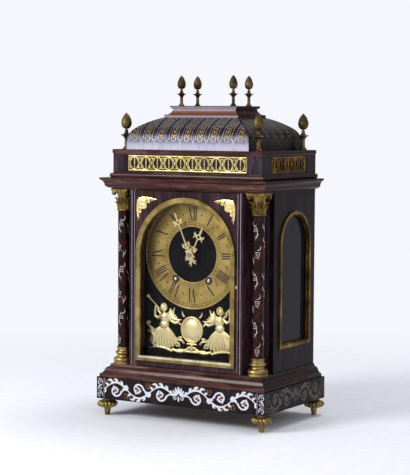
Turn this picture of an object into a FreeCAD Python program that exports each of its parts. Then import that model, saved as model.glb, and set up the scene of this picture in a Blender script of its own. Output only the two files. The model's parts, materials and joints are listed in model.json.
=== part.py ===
import FreeCAD, Part
import math
import os
from FreeCAD import Vector

# Bracket clock in a domed, columned case with a two-train spring movement.
# Millimetres, +Z up, front towards -Y, origin on the table under the middle of the plinth.

# ---- clearances -------------------------------------------------------------------------
running_fit = 0.05        # radial, arbors and pins in their holes
free_gap = 0.4            # between parts that move past each other
trim_gap = 0.35           # between neighbouring mounts
door_gap = 1.2            # round the front door
back_gap = 1.0            # round the back door
fine_sides = 8            # flats round an arbor or its hole
fine_flat = math.cos(math.pi / fine_sides)

# ---- plinth, feet and base --------------------------------------------------------------
plinth_width = 300.0
plinth_depth = 196.0
plinth_height = 34.0
plinth_board = 11.0
foot_height = 27.0
foot_radius = 16.5
foot_tip = 4.2
foot_inset = 11.5         # foot centre in from the plinth's faces
base_height = 20.0
base_step = 3.0           # base moulding in from the plinth's face

# ---- case -------------------------------------------------------------------------------
case_step = 17.5          # case wall in from the plinth's face
back_step = 5.0           # case back in from the plinth's back
case_height = 274.0
wall = 8.0
notch_width = 32.0        # corner notch, seen from the front
notch_depth = 39.5        # corner notch, seen from the side
post_wall = 6.0
cornice_height = 18.0
cornice_out = 15.0

# ---- gallery, dome and platform ---------------------------------------------------------
gallery_step = 18.3       # gallery in from the plinth's face
gallery_moulding = 9.0
gallery_moulding_out = 4.3
gallery_height = 28.0
gallery_wall = 9.0
lid_height = 7.0
lid_out = 1.2
fret_height = 25.0
fret_margin = 26.0        # front fret in from the gallery's corners
side_fret_margin = 31.0
fret_thick = 2.0
fret_recess = 3.2
fret_pitch = 21.0
fret_frame = 2.4
dome_height = 49.5
dome_foot = 12.0
dome_shoulder_in = 11.2
dome_shoulder_height = 34.0
dome_run = 42.0           # how far the curve runs in
dome_gap = 1.3            # between the dome and the corner finials
dome_back_gap = 1.35      # dome in from the gallery's front and back
dome_wall = 8.0
platform_height = 18.0
platform_width = 132.0
platform_waist = 10.0
platform_lip = 3.2        # top fillet out from the waist
finial_height = 56.7
finial_radius = 8.4
finial_inset = 14.0
top_finial_height = 47.3
top_finial_radius = 6.7
top_finial_inset = 12.3

# ---- columns ----------------------------------------------------------------------------
column_side = 12.0        # column axis in from the case's side face
column_front = 13.5       # column axis in from the case's front face
shaft_radius = 9.0
column_base_height = 26.5
column_base_radius = 13.6
capital_height = 34.0
abacus_width = 30.0
abacus_height = 4.0

# ---- side windows -----------------------------------------------------------------------
window_width = 92.0
window_bottom = 39.0      # above the case's floor
window_top = 240.0
window_bead = 5.0
window_lap = 1.2
window_proud = 2.5
glass_thick = 2.0
side_glass_depth = 5.0    # glass face in from the case's side

# ---- front door -------------------------------------------------------------------------
door_thick = 12.0
door_stile = 13.3         # door's edge to its arched opening
door_rail = 16.8          # top of the arched opening below the door's top
arch_bottom = 17.5        # above the case's floor
bead_width = 8.0
bead_proud = 3.0
door_glass_depth = 7.5
pivot_inset = 2.2
pivot_radius = 2.0
pivot_depth = 8.0
lock_height = 132.5       # above the case's floor
lock_width = 10.0
lock_tall = 30.0
lock_thick = 6.5
bolt_tall = 8.0
bolt_thick = 3.0
bolt_travel = 5.0
spandrel_reach = 38.0
spandrel_thick = 2.5

# ---- back door --------------------------------------------------------------------------
back_rail = 28.0
back_panel_step = 3.0     # sunk panels below the rails
latch_inset = 14.0
knob_radius = 7.0
knob_length = 9.0
tongue_thick = 2.5

# ---- dial -------------------------------------------------------------------------------
dial_depth = 23.5         # dial face behind the case's front
dial_board = 4.0
ring_lap = 4.5            # ring behind the arched opening's edge
ring_sides = 48           # flats round the ring
ring_thick = 2.0
winding_side = 29.5
winding_drop = 39.0
winding_hole = 4.5
winding_inset = 6.2       # winding places outside the ring's inner edge
mount_thick = 5.0
mount_bottom = 24.0       # above the case's floor
hand_thick = 1.2
hour_over = 3.3           # hour hand's tip past the ring's inner edge
hour_angle = 26.0
minute_short = 13.0       # minute hand's tip inside the ring's outer edge
minute_angle = -23.5

# ---- movement ---------------------------------------------------------------------------
motion_space = 12.0       # behind the dial board, for the motion work
plate_thick = 3.0
plate_space = 46.0
plate_width = 132.0
plate_below = 70.0        # plates below the hands' arbor
plate_above = 55.0
seat_thick = 12.0
pillar_radius = 4.0
pillar_inset = 7.0
arbor_radius = 1.2
centre_radius = 1.5
winding_radius = 3.0
winding_square = 4.4
wheel_thick = 2.0
great_teeth = 48
great_module = 1.1667
middle_teeth = 40
middle_module = 1.0
centre_teeth = 48
centre_module = 0.84
third_teeth = 48
third_module = 0.6
leaves = 8
escape_teeth = 24
escape_radius = 12.0
escape_rise = 30.0        # escape arbor above the hands' arbor
pallet_rise = 17.0
cannon_leaves = 10
minute_teeth = 30
hour_teeth = 32
motion_module = 0.8
cannon_pipe = 3.0
motion_stud = 1.5
hour_pipe = 4.6
drum_radius = 24.0
drum_length = 28.0
drum_wall = 1.5
strike_angle = 109.0      # from the strike barrel to the pin wheel
fly_angle = 80.0
pin_circle = 14.0
strike_pin = 0.8
pin_count = 8
fly_reach = 11.0
pendulum_clear = 21.0     # rating nut above the case's floor
rod_end = 8.0             # pendulum rod below the bob
bob_radius = 16.0
bob_thick = 9.0
pendulum_space = 10.0     # behind the back plate
bell_radius = 29.0
bell_gap = 7.5            # bracket below the case's top
bell_bracket = 2.5
bell_strap = 30.0         # bracket's foot down the back plate
bell_wall = 1.6
bell_rise = 7.0           # bell's rim above the plates

# ---- places worked out from the sizes -----------------------------------------------------
plinth_x = plinth_width / 2
plinth_y = plinth_depth / 2
plinth_top = foot_height + plinth_height
floor_top = plinth_top + base_height
case_x = plinth_x - case_step
case_front = case_step - plinth_y
case_back = plinth_y - back_step
case_top = floor_top + case_height
cornice_top = case_top + cornice_height
gallery_bottom = cornice_top + gallery_moulding
gallery_top = gallery_bottom + gallery_height
gallery_x = plinth_x - gallery_step
gallery_front = gallery_step - plinth_y
gallery_back = plinth_y - base_step
lid_top = gallery_top + lid_height
gallery_mid = (gallery_front + gallery_back) / 2
dome_top = lid_top + dome_height
platform_top = dome_top + platform_height
dome_x = gallery_x - finial_inset - finial_radius - dome_gap
dome_y = (gallery_back - gallery_front) / 2 - dome_back_gap
platform_y = platform_width / 2 - dome_x + dome_y
column_x = case_x - column_side
column_y = case_front + column_front
notch_x = case_x - notch_width
notch_y = case_front + notch_depth
post_x = notch_x - post_wall
post_back = notch_y + post_wall
inner_x = case_x - wall
door_x = post_x - door_gap
arch_width = 2 * (door_x - door_stile)
door_bottom = floor_top + door_gap
door_top = case_top - door_gap
door_back = case_front + door_thick
door_glass_front = case_front + door_glass_depth
hand_z = door_top - door_rail - arch_width / 2
dial_front = case_front + dial_depth
dial_back = dial_front + dial_board
front_plate = dial_back + motion_space
plates_inner = front_plate + plate_thick
back_plate = plates_inner + plate_space
plates_outer = back_plate + plate_thick
plate_bottom = hand_z - plate_below
plate_top = hand_z + plate_above
plate_x = plate_width / 2
winding_z = hand_z - winding_drop
ring_outer = arch_width / 2 + ring_lap
ring_inner = math.hypot(winding_side, winding_drop) - winding_inset
minute_reach = ring_outer - minute_short
window_mid = (notch_y + case_back) / 2
back_door_x = inner_x - post_wall - back_gap
back_door_front = case_back - wall

# wheel layers between the plates, front to back
great_layer = plates_inner + 2.0
drum_layer = great_layer + wheel_thick
centre_layer = plates_inner + 16.0
third_layer = plates_inner + 26.0
escape_layer = plates_inner + 36.0
middle_layer = plates_inner + 40.5
minute_layer = front_plate - 4.5
hour_layer = minute_layer - 3.5
hour_hand_front = dial_front - 7.0
minute_hand_front = hour_hand_front - 3.5


# ---- helpers ------------------------------------------------------------------------------
def block(x0, x1, y0, y1, z0, z1):
    return Part.makeBox(x1 - x0, y1 - y0, z1 - z0, Vector(x0, y0, z0))


def runs(points):
    """Edges of an XZ outline. A point's third number bends the run that ends there, leftwards if positive."""
    edges = []
    for here, there in zip(points, points[1:] + points[:1]):
        start = Vector(here[0], 0, here[1])
        end = Vector(there[0], 0, there[1])
        if len(there) == 3:
            across = Vector(start.z - end.z, 0, end.x - start.x)
            middle = (start + end) * 0.5 + across * (there[2] / 2)
            edges.append(Part.Arc(start, middle, end).toShape())
        else:
            edges.append(Part.LineSegment(start, end).toShape())
    return edges


def outline(points):
    return Part.Wire(runs(points))


def slab(points, y0, y1):
    """Flat piece with an XZ outline, between two depths."""
    face = Part.Face(outline(points))
    face.translate(Vector(0, y0, 0))
    return face.extrude(Vector(0, y1 - y0, 0))


def prism(points, z0, z1):
    """Upright piece with a straight-sided plan."""
    corners = [Vector(x, y, z0) for x, y in points]
    return Part.Face(Part.makePolygon(corners + corners[:1])).extrude(Vector(0, 0, z1 - z0))


def ring(radius, height, sides):
    angles = [2 * math.pi * (side + 0.5) / sides for side in range(sides)]
    return [Vector(radius * math.cos(turn), radius * math.sin(turn), height) for turn in angles]


def face_of(corners):
    return Part.Face(Part.makePolygon(corners + corners[:1]))


def turned(points, sides, steps=3):
    """Turned about Z in flats, from an outline of (radius, height) that starts and ends on the axis."""
    stations = []
    for edge in runs(points)[:-1]:
        count = steps + 1 if isinstance(edge.Curve, Part.Circle) else 2
        stations += [(point.x, point.z) for point in edge.discretize(count)[:-1]]
    faces = [face_of(ring(*stations[1], sides))]
    for lower, upper in zip(stations[1:], stations[2:]):
        low = ring(*lower, sides)
        high = ring(*upper, sides)
        for side in range(sides):
            after = (side + 1) % sides
            faces.append(face_of([low[side], low[after], high[after], high[side]]))
    faces.append(face_of(ring(*stations[-1], sides)))
    solid = Part.Solid(Part.Shell(faces))
    if solid.Volume < 0:
        solid.reverse()
    return solid


def rod(radius, place, y0, y1):
    """Round bar along Y at a place (x, z)."""
    return Part.makeCylinder(radius, y1 - y0, Vector(place[0], y0, place[1]), Vector(0, 1, 0))


def fine_rod(radius, place, y0, y1, sides=fine_sides):
    """Bar along Y, its round drawn in flats whose corners lie on the radius."""
    turns = [360 * side / sides for side in range(sides)]
    return slab([place_from(place, radius, turn) for turn in turns], y0, y1)


def fine_hole(radius, place, y0, y1):
    """Cutter for such a bar's hole: the middles of its flats lie on the radius."""
    return fine_rod(radius / fine_flat, place, y0, y1)


def post(radius, x, y, z0, z1):
    return Part.makeCylinder(radius, z1 - z0, Vector(x, y, z0))


def pin(radius, x, y, z0, z1):
    """Thin upright bar, drawn in flats as the bars along Y are."""
    bar = fine_rod(radius, (0, 0), 0, z1 - z0)
    bar.rotate(Vector(0, 0, 0), Vector(1, 0, 0), 90)
    return moved(bar, x, y, z0)


def moved(shape, x=0, y=0, z=0):
    copy = shape.copy()
    copy.translate(Vector(x, y, z))
    return copy


def mirrored(shape):
    return shape.mirror(Vector(0, 0, 0), Vector(1, 0, 0))


def fused(shapes):
    return shapes[0].multiFuse(shapes[1:]).removeSplitter()


def both_sides(shape):
    return Part.makeCompound([shape, mirrored(shape)])


def at_corners(shape, x, y0, y1):
    return Part.makeCompound([moved(shape, side * x, y) for side in (-1, 1) for y in (y0, y1)])


def on_side(shape):
    """Turns a slab drawn across the front onto the right-hand side: x becomes y."""
    copy = shape.copy()
    copy.rotate(Vector(0, 0, 0), Vector(0, 0, 1), 90)
    return copy


def mitred(profile, half_width, front, back):
    """Three moulding lengths, front and sides, mitred together, from (distance out, height)."""
    out = 2 * max(point[0] for point in profile)
    low = min(point[1] for point in profile)
    high = max(point[1] for point in profile)
    section = Part.Face(outline(profile))
    side = moved(section, half_width, front - out).extrude(Vector(0, back - front + out, 0))
    side = side.common(prism([(half_width, front), (half_width + out, front - out),
                              (half_width + out, back), (half_width, back)], low, high))
    section.rotate(Vector(0, 0, 0), Vector(0, 0, 1), -90)
    reach = half_width + out
    along = moved(section, -reach, front).extrude(Vector(2 * reach, 0, 0))
    along = along.common(prism([(-half_width, front), (half_width, front),
                                (reach, front - out), (-reach, front - out)], low, high))
    return Part.makeCompound([along, side, mirrored(side)])


def four_sided(profile, half_width, front, back, plain_back=False):
    """Block whose sides follow one profile of (distance in, height), listed bottom to top."""
    def section(low, high, plain):
        points = [(low + point[0],) + point[1:] for point in profile]
        if plain:
            return points + [(high, profile[-1][1]), (high, profile[0][1])]
        points.append((high - profile[-1][0], profile[-1][1]))
        for lower, upper in zip(profile[-2::-1], profile[:0:-1]):
            points.append((high - lower[0], lower[1]) + upper[2:])
        return points
    across = slab(section(-half_width, half_width, False), front, back)
    deep = on_side(slab(section(front, back, plain_back), -half_width, half_width))
    return across.common(deep)


def arch(width, bottom, top, centre=0.0):
    spring = top - width / 2
    left = centre - width / 2
    right = centre + width / 2
    return [(left, bottom), (right, bottom), (right, spring), (left, spring, -1)]


def frame_bead(width, bottom, top, bead, y0, y1, centre=0.0):
    """Arched moulding round an opening: a high outer bead and a lower inner one."""
    outer = slab(arch(width + 2 * bead, bottom - bead, top + bead, centre), y0, y1)
    middle = slab(arch(width + bead, bottom - bead / 2, top + bead / 2, centre), y0, y0 + (y1 - y0) / 3)
    inner = slab(arch(width, bottom, top, centre), y0, y1)
    return outer.cut(fused([middle, inner]))


def place_from(start, distance, angle):
    turn = math.radians(angle)
    return (start[0] + distance * math.cos(turn), start[1] + distance * math.sin(turn))


def heading(start, end):
    return math.degrees(math.atan2(end[1] - start[1], end[0] - start[0]))


def meeting(first, first_reach, second, second_reach, side):
    """Place at a given distance from each of two arbors."""
    apart = math.dist(first, second)
    along = (first_reach ** 2 - second_reach ** 2 + apart ** 2) / (2 * apart)
    off = side * math.sqrt(first_reach ** 2 - along ** 2)
    angle = heading(first, second)
    return place_from(place_from(first, along, angle), off, angle + 90)


def toothed(teeth, module, place, y0, y1, angle):
    """Straight-flanked, pointed teeth, one of them at the angle."""
    tip = module * (teeth / 2 + 0.7)
    root = module * (teeth / 2 - 1.5)
    pitch = 360 / teeth
    points = []
    for tooth in range(teeth):
        middle = angle + tooth * pitch
        points.append(place_from(place, root, middle - pitch / 2))
        points.append(place_from(place, tip, middle))
    return slab(points, y0, y1)


def crossed_out(wheel, place, outer, inner, y0, y1, arms=4):
    """Cuts the openings between a wheel's arms."""
    share = 360 / arms
    for arm in range(arms):
        start = arm * share + 8
        end = (arm + 1) * share - 8
        corners = [place_from(place, inner, start + 6), place_from(place, outer, start),
                   place_from(place, outer, (start + end) / 2), place_from(place, outer, end),
                   place_from(place, inner, end - 6)]
        wheel = wheel.cut(slab(corners, y0 - 1, y1 + 1))
    return wheel


# ---- arbor places (x, z) ------------------------------------------------------------------
great_reach = great_module * (great_teeth + leaves) / 2
middle_reach = middle_module * (middle_teeth + leaves) / 2
centre_reach = centre_module * (centre_teeth + leaves) / 2
third_reach = third_module * (third_teeth + leaves) / 2
motion_reach = motion_module * (cannon_leaves + minute_teeth) / 2
hands = (0.0, hand_z)
going = (winding_side, winding_z)
strike = (-winding_side, winding_z)
middle = meeting(going, great_reach, hands, middle_reach, -1)
escape = (0.0, hand_z + escape_rise)
third = meeting(hands, centre_reach, escape, third_reach, 1)
pallet = (0.0, escape[1] + pallet_rise)
motion = (0.0, hand_z - motion_reach)
pin_arbor = place_from(strike, great_reach, strike_angle)
fly_arbor = place_from(pin_arbor, middle_reach, fly_angle)
hammer_arbor = (-plate_x + pillar_inset + pillar_radius + 3.0, plate_top - 24.0)
pillars = [(side * (plate_x - pillar_inset), z) for side in (-1, 1)
           for z in (plate_bottom + pillar_inset, plate_top - pillar_inset)]
pendulum_y = plates_outer + pendulum_space
bell_y = (dial_back + plates_outer) / 2 + 1.0
bell_z = plate_top + bell_rise
bell_height = case_top - bell_gap - bell_bracket - bell_z


# ---- case ---------------------------------------------------------------------------------
def feet():
    waist = 0.45 * foot_radius
    height = foot_height
    foot = turned([(0, 0), (foot_tip, 0), (1.1 * foot_tip, 0.15 * height), (waist, 0.45 * height),
                   (0.8 * foot_radius, 0.49 * height), (foot_radius, 0.68 * height, -0.25),
                   (0.8 * foot_radius, 0.85 * height, -0.25), (waist, 0.89 * height), (waist, height),
                   (0, height)], 12, 2)
    return at_corners(foot, plinth_x - foot_inset, foot_inset - plinth_y, plinth_y - foot_inset)


def plinth():
    x = plinth_x - plinth_board
    y = plinth_y - plinth_board
    front = prism([(-plinth_x, -plinth_y), (plinth_x, -plinth_y), (x, -y), (-x, -y)], foot_height, plinth_top)
    side = prism([(plinth_x, -plinth_y), (plinth_x, plinth_y), (x, y), (x, -y)], foot_height, plinth_top)
    back = front.mirror(Vector(0, 0, 0), Vector(0, 1, 0))
    return Part.makeCompound([front, back, side, mirrored(side)])


def base_moulding():
    out = case_step - base_step
    bottom = plinth_top
    return mitred([(0, bottom), (out, bottom), (out, bottom + 5), (out - 1.8, bottom + 5.6),
                   (out - 5.9, bottom + 10.6, 0.2), (out - 6.4, bottom + 12), (out - 9.2, bottom + 15, -0.2),
                   (out - 12.6, bottom + 17.8, 0.2), (out - 12.6, floor_top), (0, floor_top)],
                  case_x, case_front, case_back)


def pivot_place(half_width, face, inward):
    return -half_width + pivot_inset, face + inward * pivot_inset


def pivot_pins(half_width, face, inward, bottom, top):
    x, y = pivot_place(half_width, face, inward)
    low = pin(pivot_radius, x, y, floor_top - pivot_depth, bottom + pivot_depth)
    high = pin(pivot_radius, x, y, top - pivot_depth, case_top + pivot_depth)
    return Part.makeCompound([low, high])


def pivot_bores(board, low, high):
    for half_width, face, inward in ((door_x, case_front, 1), (back_door_x, case_back, -1)):
        x, y = pivot_place(half_width, face, inward)
        board = board.cut(pin((pivot_radius + running_fit) / fine_flat, x, y, low, high))
    return board


def base_board():
    board = block(-case_x, case_x, case_front, case_back, plinth_top, floor_top)
    return pivot_bores(board, floor_top - pivot_depth - running_fit, floor_top)


def top_board():
    board = block(-case_x, case_x, case_front, case_back, case_top, cornice_top)
    return pivot_bores(board, case_top, case_top + pivot_depth + running_fit)


def cornice():
    out = cornice_out
    low = case_top
    return mitred([(0, low), (1.2, low), (1.2, low + 1.5), (out - 5.8, low + 6, -0.25),
                   (out - 5.8, low + 7.5), (out - 0.6, low + 14.8, 0.25), (out, low + 14.8),
                   (out, cornice_top), (0, cornice_top)],
                  case_x, case_front, case_back)


def side_panels():
    panel = block(inner_x, case_x, notch_y, case_back, floor_top, case_top)
    opening = on_side(slab(arch(window_width, floor_top + window_bottom, floor_top + window_top, window_mid),
                           -case_x - 1, -inner_x + 1))
    return both_sides(panel.cut(opening))


def side_window_frames():
    low = floor_top + window_bottom + window_lap
    high = floor_top + window_top - window_lap
    width = window_width - 2 * window_lap
    outer = slab(arch(width + 2 * window_bead, low - window_bead, high + window_bead, window_mid),
                 -case_x - window_proud, -case_x)
    inner = slab(arch(width, low, high, window_mid), -case_x - window_proud - 1, -case_x + 1)
    return both_sides(on_side(outer.cut(inner)))


def side_glasses():
    face = side_glass_depth - case_x
    glass = slab(arch(window_width, floor_top + window_bottom, floor_top + window_top, window_mid),
                 face, face + glass_thick)
    return both_sides(on_side(glass))


def bolt_height():
    return floor_top + lock_height


def corner_posts():
    outer = block(post_x, notch_x, case_front, post_back, floor_top, case_top)
    inner = block(notch_x, inner_x, notch_y, post_back, floor_top, case_top)
    half = bolt_tall / 2 + free_gap
    y = door_back + lock_thick / 2
    mortise = block(post_x, door_x + bolt_travel + free_gap, y - bolt_thick / 2 - free_gap,
                    y + bolt_thick / 2 + free_gap, bolt_height() - half, bolt_height() + half)
    return Part.makeCompound([outer.cut(mortise), inner, mirrored(outer), mirrored(inner)])


def gallery_base():
    out = gallery_moulding_out
    return four_sided([(1.5, cornice_top), (1.5, cornice_top + 7, 0.42), (out, cornice_top + 7),
                       (out, gallery_bottom)],
                      gallery_x + out, gallery_front - out, gallery_back, True)


def fret_spans():
    front_half = gallery_x - fret_margin
    side_half = (gallery_back - gallery_front) / 2 - side_fret_margin
    return front_half, side_half


def gallery_walls():
    front_half, side_half = fret_spans()
    middle_z = (gallery_bottom + gallery_top) / 2
    low = middle_z - fret_height / 2
    high = middle_z + fret_height / 2
    x = gallery_x
    front_inner = gallery_front + gallery_wall
    back_inner = gallery_back - gallery_wall
    front = block(-x, x, gallery_front, front_inner, gallery_bottom, gallery_top)
    front = front.cut(block(-front_half, front_half, gallery_front, gallery_front + fret_recess, low, high))
    back = block(-x, x, back_inner, gallery_back, gallery_bottom, gallery_top)
    side = block(x - gallery_wall, x, front_inner, back_inner, gallery_bottom, gallery_top)
    side = side.cut(block(x - fret_recess, x, gallery_mid - side_half, gallery_mid + side_half, low, high))
    return Part.makeCompound([front, back, side, mirrored(side)])


def fret(half_width, y0, y1, centre):
    """Pierced strip: oval loops with a baluster in each, and spandrel openings between them."""
    middle_z = (gallery_bottom + gallery_top) / 2
    half = fret_height / 2
    strip = slab([(centre - half_width, middle_z - half), (centre + half_width, middle_z - half),
                  (centre + half_width, middle_z + half), (centre - half_width, middle_z + half)], y0, y1)
    repeats = round(2 * half_width / fret_pitch)
    pitch = 2 * (half_width - fret_frame / 2) / repeats
    tall = half - fret_frame
    cuts = []
    for index in range(repeats):
        x = centre - half_width + fret_frame / 2 + (index + 0.5) * pitch
        for side in (-1, 1):
            loop = [(0.05, -0.75), (0.20, -0.62), (0.33, 0.0), (0.20, 0.62), (0.05, 0.75), (0.13, 0.0)]
            places = [(x + side * px * pitch, middle_z + pz * tall) for px, pz in loop]
            cuts.append(slab(places, y0 - 1, y1 + 1))
            gap = [(-0.14, 0.97), (0.14, 0.97), (0.0, 0.45)]
            places = [(x + (0.5 + px) * pitch, middle_z + side * pz * tall) for px, pz in gap]
            if index < repeats - 1:
                cuts.append(slab(places, y0 - 1, y1 + 1))
    return strip.cut(Part.makeCompound(cuts))


def gallery_frets():
    front_half, side_half = fret_spans()
    seat = gallery_front + fret_recess
    front = fret(front_half, seat - fret_thick, seat, 0)
    side_seat = fret_recess - gallery_x
    side = on_side(fret(side_half, side_seat - fret_thick, side_seat, gallery_mid))
    return Part.makeCompound([front, side, mirrored(side)])


def gallery_lid():
    return four_sided([(lid_out, gallery_top), (0, gallery_top + 2), (0, lid_top - 1.2), (1, lid_top)],
                      gallery_x + lid_out, gallery_front - lid_out, gallery_back, True)


def domed(half_width, half_depth, height, foot, run):
    """Cushion dome: an upright foot, then two arcs in line with each other."""
    shoulder_in = dome_shoulder_in
    shoulder = dome_shoulder_height - dome_foot + foot
    first = math.atan2(shoulder_in, shoulder - foot)
    chord = math.atan2(run - shoulder_in, height - shoulder)
    return four_sided([(0, lid_top), (0, lid_top + foot),
                       (shoulder_in, lid_top + shoulder, math.tan(first / 2)),
                       (run, lid_top + height, math.tan((chord - 2 * first) / 2))],
                      half_width, gallery_mid - half_depth, gallery_mid + half_depth)


def dome():
    outside = domed(dome_x, dome_y, dome_height, dome_foot, dome_run)
    inside = domed(dome_x - dome_wall, dome_y - dome_wall, dome_height - dome_wall,
                   dome_foot - dome_wall / 2, dome_run)
    return outside.cut(inside)


def platform():
    low = dome_top
    waist = platform_waist
    return four_sided([(0, low), (0, low + 4.2), (waist - 5.5, low + 4.8), (waist, low + 12, -0.15),
                       (waist - 2.4, low + 14.4, -0.3), (waist - platform_lip, low + 14.4),
                       (waist - platform_lip, platform_top)],
                      platform_width / 2, gallery_mid - platform_y, gallery_mid + platform_y)


def finial(height, radius, tip_bend):
    """Flared foot, stem, cup with a sharp rim, thin neck and an acorn."""
    stem = radius / 3
    neck = radius / 4.5
    rim = 0.38 * height
    acorn = 0.54 * height
    return turned([(0, 0), (0.66 * radius, 0), (stem, 0.11 * height), (stem, 0.2 * height),
                   (0.95 * radius, rim), (neck, rim + 0.12 * height), (neck, acorn),
                   (radius, 0.72 * height, -0.35), (0.1 * radius, height, tip_bend), (0, height)], 8, 2)


def corner_finials():
    shape = moved(finial(finial_height, finial_radius, -0.12), 0, 0, lid_top)
    return at_corners(shape, gallery_x - finial_inset, gallery_front + finial_inset,
                      gallery_back - finial_inset)


def top_finials():
    shape = moved(finial(top_finial_height, top_finial_radius, -0.3), 0, 0, platform_top)
    inset = top_finial_inset + platform_waist - platform_lip
    reach = platform_y - inset
    return at_corners(shape, platform_width / 2 - inset, gallery_mid - reach, gallery_mid + reach)


# ---- columns ------------------------------------------------------------------------------
def column_bases():
    big = column_base_radius
    waist = shaft_radius + 0.8
    top = column_base_height
    base = turned([(0, 0), (big, 0), (big, 0.11 * top), (big - 0.6, 0.38 * top, -0.6),
                   (waist + 1, 0.41 * top),
                   (waist + 0.6, 0.56 * top, 0.3), (waist + 1.4, 0.59 * top), (waist + 1.4, 0.73 * top, -0.6),
                   (waist, 0.77 * top), (waist, 0.9 * top), (waist + 0.9, 0.95 * top), (shaft_radius, top),
                   (0, top)], 14, 2)
    return both_sides(moved(base, column_x, column_y, floor_top))


def column_shafts():
    return both_sides(post(shaft_radius, column_x, column_y, floor_top + column_base_height,
                           case_top - capital_height))


def capitals():
    """Leafy bell in two tiers under a square block with hollowed sides and clipped corners."""
    low = case_top - capital_height
    high = case_top - abacus_height
    tall = high - low
    neck = shaft_radius
    lip = abacus_width / 2 - 2
    bell = turned([(0, low), (neck, low), (neck + 1.6, low + 0.07 * tall), (neck + 0.4, low + 0.15 * tall),
                   (neck + 0.6, low + 0.2 * tall), (neck + 3.4, low + 0.47 * tall, -0.2),
                   (neck + 1.4, low + 0.49 * tall), (neck + 3.8, high - 0.13 * tall, 0.1),
                   (lip, high - 0.05 * tall), (lip, high), (0, high)], 14, 2)
    half = abacus_width / 2
    clip = 0.1 * abacus_width
    hollow = half - 0.07 * abacus_width
    quarter = [(half - clip, -half), (half, clip - half), (hollow, 0)]
    plan = []
    for turn in range(4):
        plan += quarter
        quarter = [(-y, x) for x, y in quarter]
    return both_sides(moved(fused([bell, prism(plan, high, case_top)]), column_x, column_y))


# ---- front door ---------------------------------------------------------------------------
def door_opening(y0, y1):
    return slab(arch(arch_width, floor_top + arch_bottom, hand_z + arch_width / 2), y0, y1)


def door_frame():
    frame = block(-door_x, door_x, case_front, door_back, door_bottom, door_top)
    x, y = pivot_place(door_x, case_front, 1)
    frame = frame.cut(pin(pivot_radius, x, y, door_bottom, door_bottom + pivot_depth))
    frame = frame.cut(pin(pivot_radius, x, y, door_top - pivot_depth, door_top))
    return frame.cut(door_opening(case_front - 1, door_back + 1))


def door_glass():
    return door_opening(door_glass_front, door_glass_front + glass_thick)


def door_moulding():
    return frame_bead(arch_width, floor_top + arch_bottom, hand_z + arch_width / 2, bead_width,
                      case_front - bead_proud, case_front)


def spandrels():
    right = door_x - 5.0
    top = door_top - 9.0
    reach = spandrel_reach
    leaf = slab([(right, top), (right - reach, top), (right - 0.8 * reach, top - 0.12 * reach, 0.2),
                 (right - 0.36 * reach, top - 0.36 * reach, -0.2),
                 (right - 0.12 * reach, top - 0.8 * reach, -0.2),
                 (right, top - reach, 0.2)], case_front - spandrel_thick, case_front)
    edge = bead_width + free_gap
    clear = slab(arch(arch_width + 2 * edge, floor_top, hand_z + arch_width / 2 + edge),
                 case_front - spandrel_thick - 1, case_front + 1)
    return both_sides(leaf.cut(clear))


def escutcheon():
    """Small round plate on the stile, between the arched moulding and the door's edge."""
    place = (door_x - (door_stile - bead_width) / 2, bolt_height())
    radius = (door_stile - bead_width) / 2 - trim_gap
    plate = fine_rod(radius, place, case_front - bead_proud / 2, case_front)
    return plate.cut(fine_rod(0.4 * radius, place, case_front - bead_proud, case_front + bead_proud))


def door_lock():
    x0 = door_x - lock_width
    half = lock_tall / 2
    case = block(x0, door_x, door_back, door_back + lock_thick, bolt_height() - half, bolt_height() + half)
    y = door_back + lock_thick / 2
    slot = block(x0 + 1, door_x, y - bolt_thick / 2 - running_fit, y + bolt_thick / 2 + running_fit,
                 bolt_height() - bolt_tall / 2 - running_fit, bolt_height() + bolt_tall / 2 + running_fit)
    return case.cut(slot)


def lock_bolt():
    y = door_back + lock_thick / 2
    return block(door_x - lock_width + 1 + free_gap, door_x, y - bolt_thick / 2, y + bolt_thick / 2,
                 bolt_height() - bolt_tall / 2, bolt_height() + bolt_tall / 2)


# ---- back door ----------------------------------------------------------------------------
def back_stiles():
    return both_sides(block(back_door_x + back_gap, inner_x, back_door_front, case_back, floor_top, case_top))


def back_door():
    bottom = floor_top + back_gap
    top = case_top - back_gap
    door = block(-back_door_x, back_door_x, back_door_front, case_back, bottom, top)
    x, y = pivot_place(back_door_x, case_back, -1)
    door = door.cut(pin(pivot_radius, x, y, bottom, bottom + pivot_depth))
    door = door.cut(pin(pivot_radius, x, y, top - pivot_depth, top))
    door = door.cut(fine_hole(pivot_radius + running_fit, latch_place(), back_door_front - 1, case_back + 1))
    rail = back_rail
    middle_z = (bottom + top) / 2
    for low, high in ((bottom + rail, middle_z - rail / 2), (middle_z + rail / 2, top - rail)):
        door = door.cut(block(rail - back_door_x, back_door_x - rail,
                              case_back - back_panel_step, case_back, low, high))
    return door


def latch_place():
    return back_door_x - latch_inset, (floor_top + case_top) / 2


def back_latch():
    """Knob outside, spindle through the door and a tongue that turns behind the stile."""
    x, z = latch_place()
    tongue_back = back_door_front - free_gap
    tongue_front = tongue_back - tongue_thick
    spindle = fine_rod(pivot_radius, (x, z), tongue_front, case_back + knob_length / 2)
    stem = 0.5 * knob_radius
    knob = turned([(0, 0), (stem, 0), (stem, 0.22 * knob_length), (knob_radius, 0.5 * knob_length),
                   (0.9 * knob_radius, 0.78 * knob_length), (stem, knob_length), (0, knob_length)], 16)
    knob.rotate(Vector(0, 0, 0), Vector(1, 0, 0), -90)
    knob = moved(knob, x, case_back + free_gap, z)
    tip = z + latch_inset + back_gap + 2.0
    half = 2 * pivot_radius
    tongue = slab([(x - half, z - half), (x + half, z - half), (x + half, tip), (x, tip + 2),
                   (x - half, tip)], tongue_front, tongue_back)
    return fused([spindle, knob, tongue])


# ---- dial ---------------------------------------------------------------------------------
def winding_places():
    return going, strike


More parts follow.
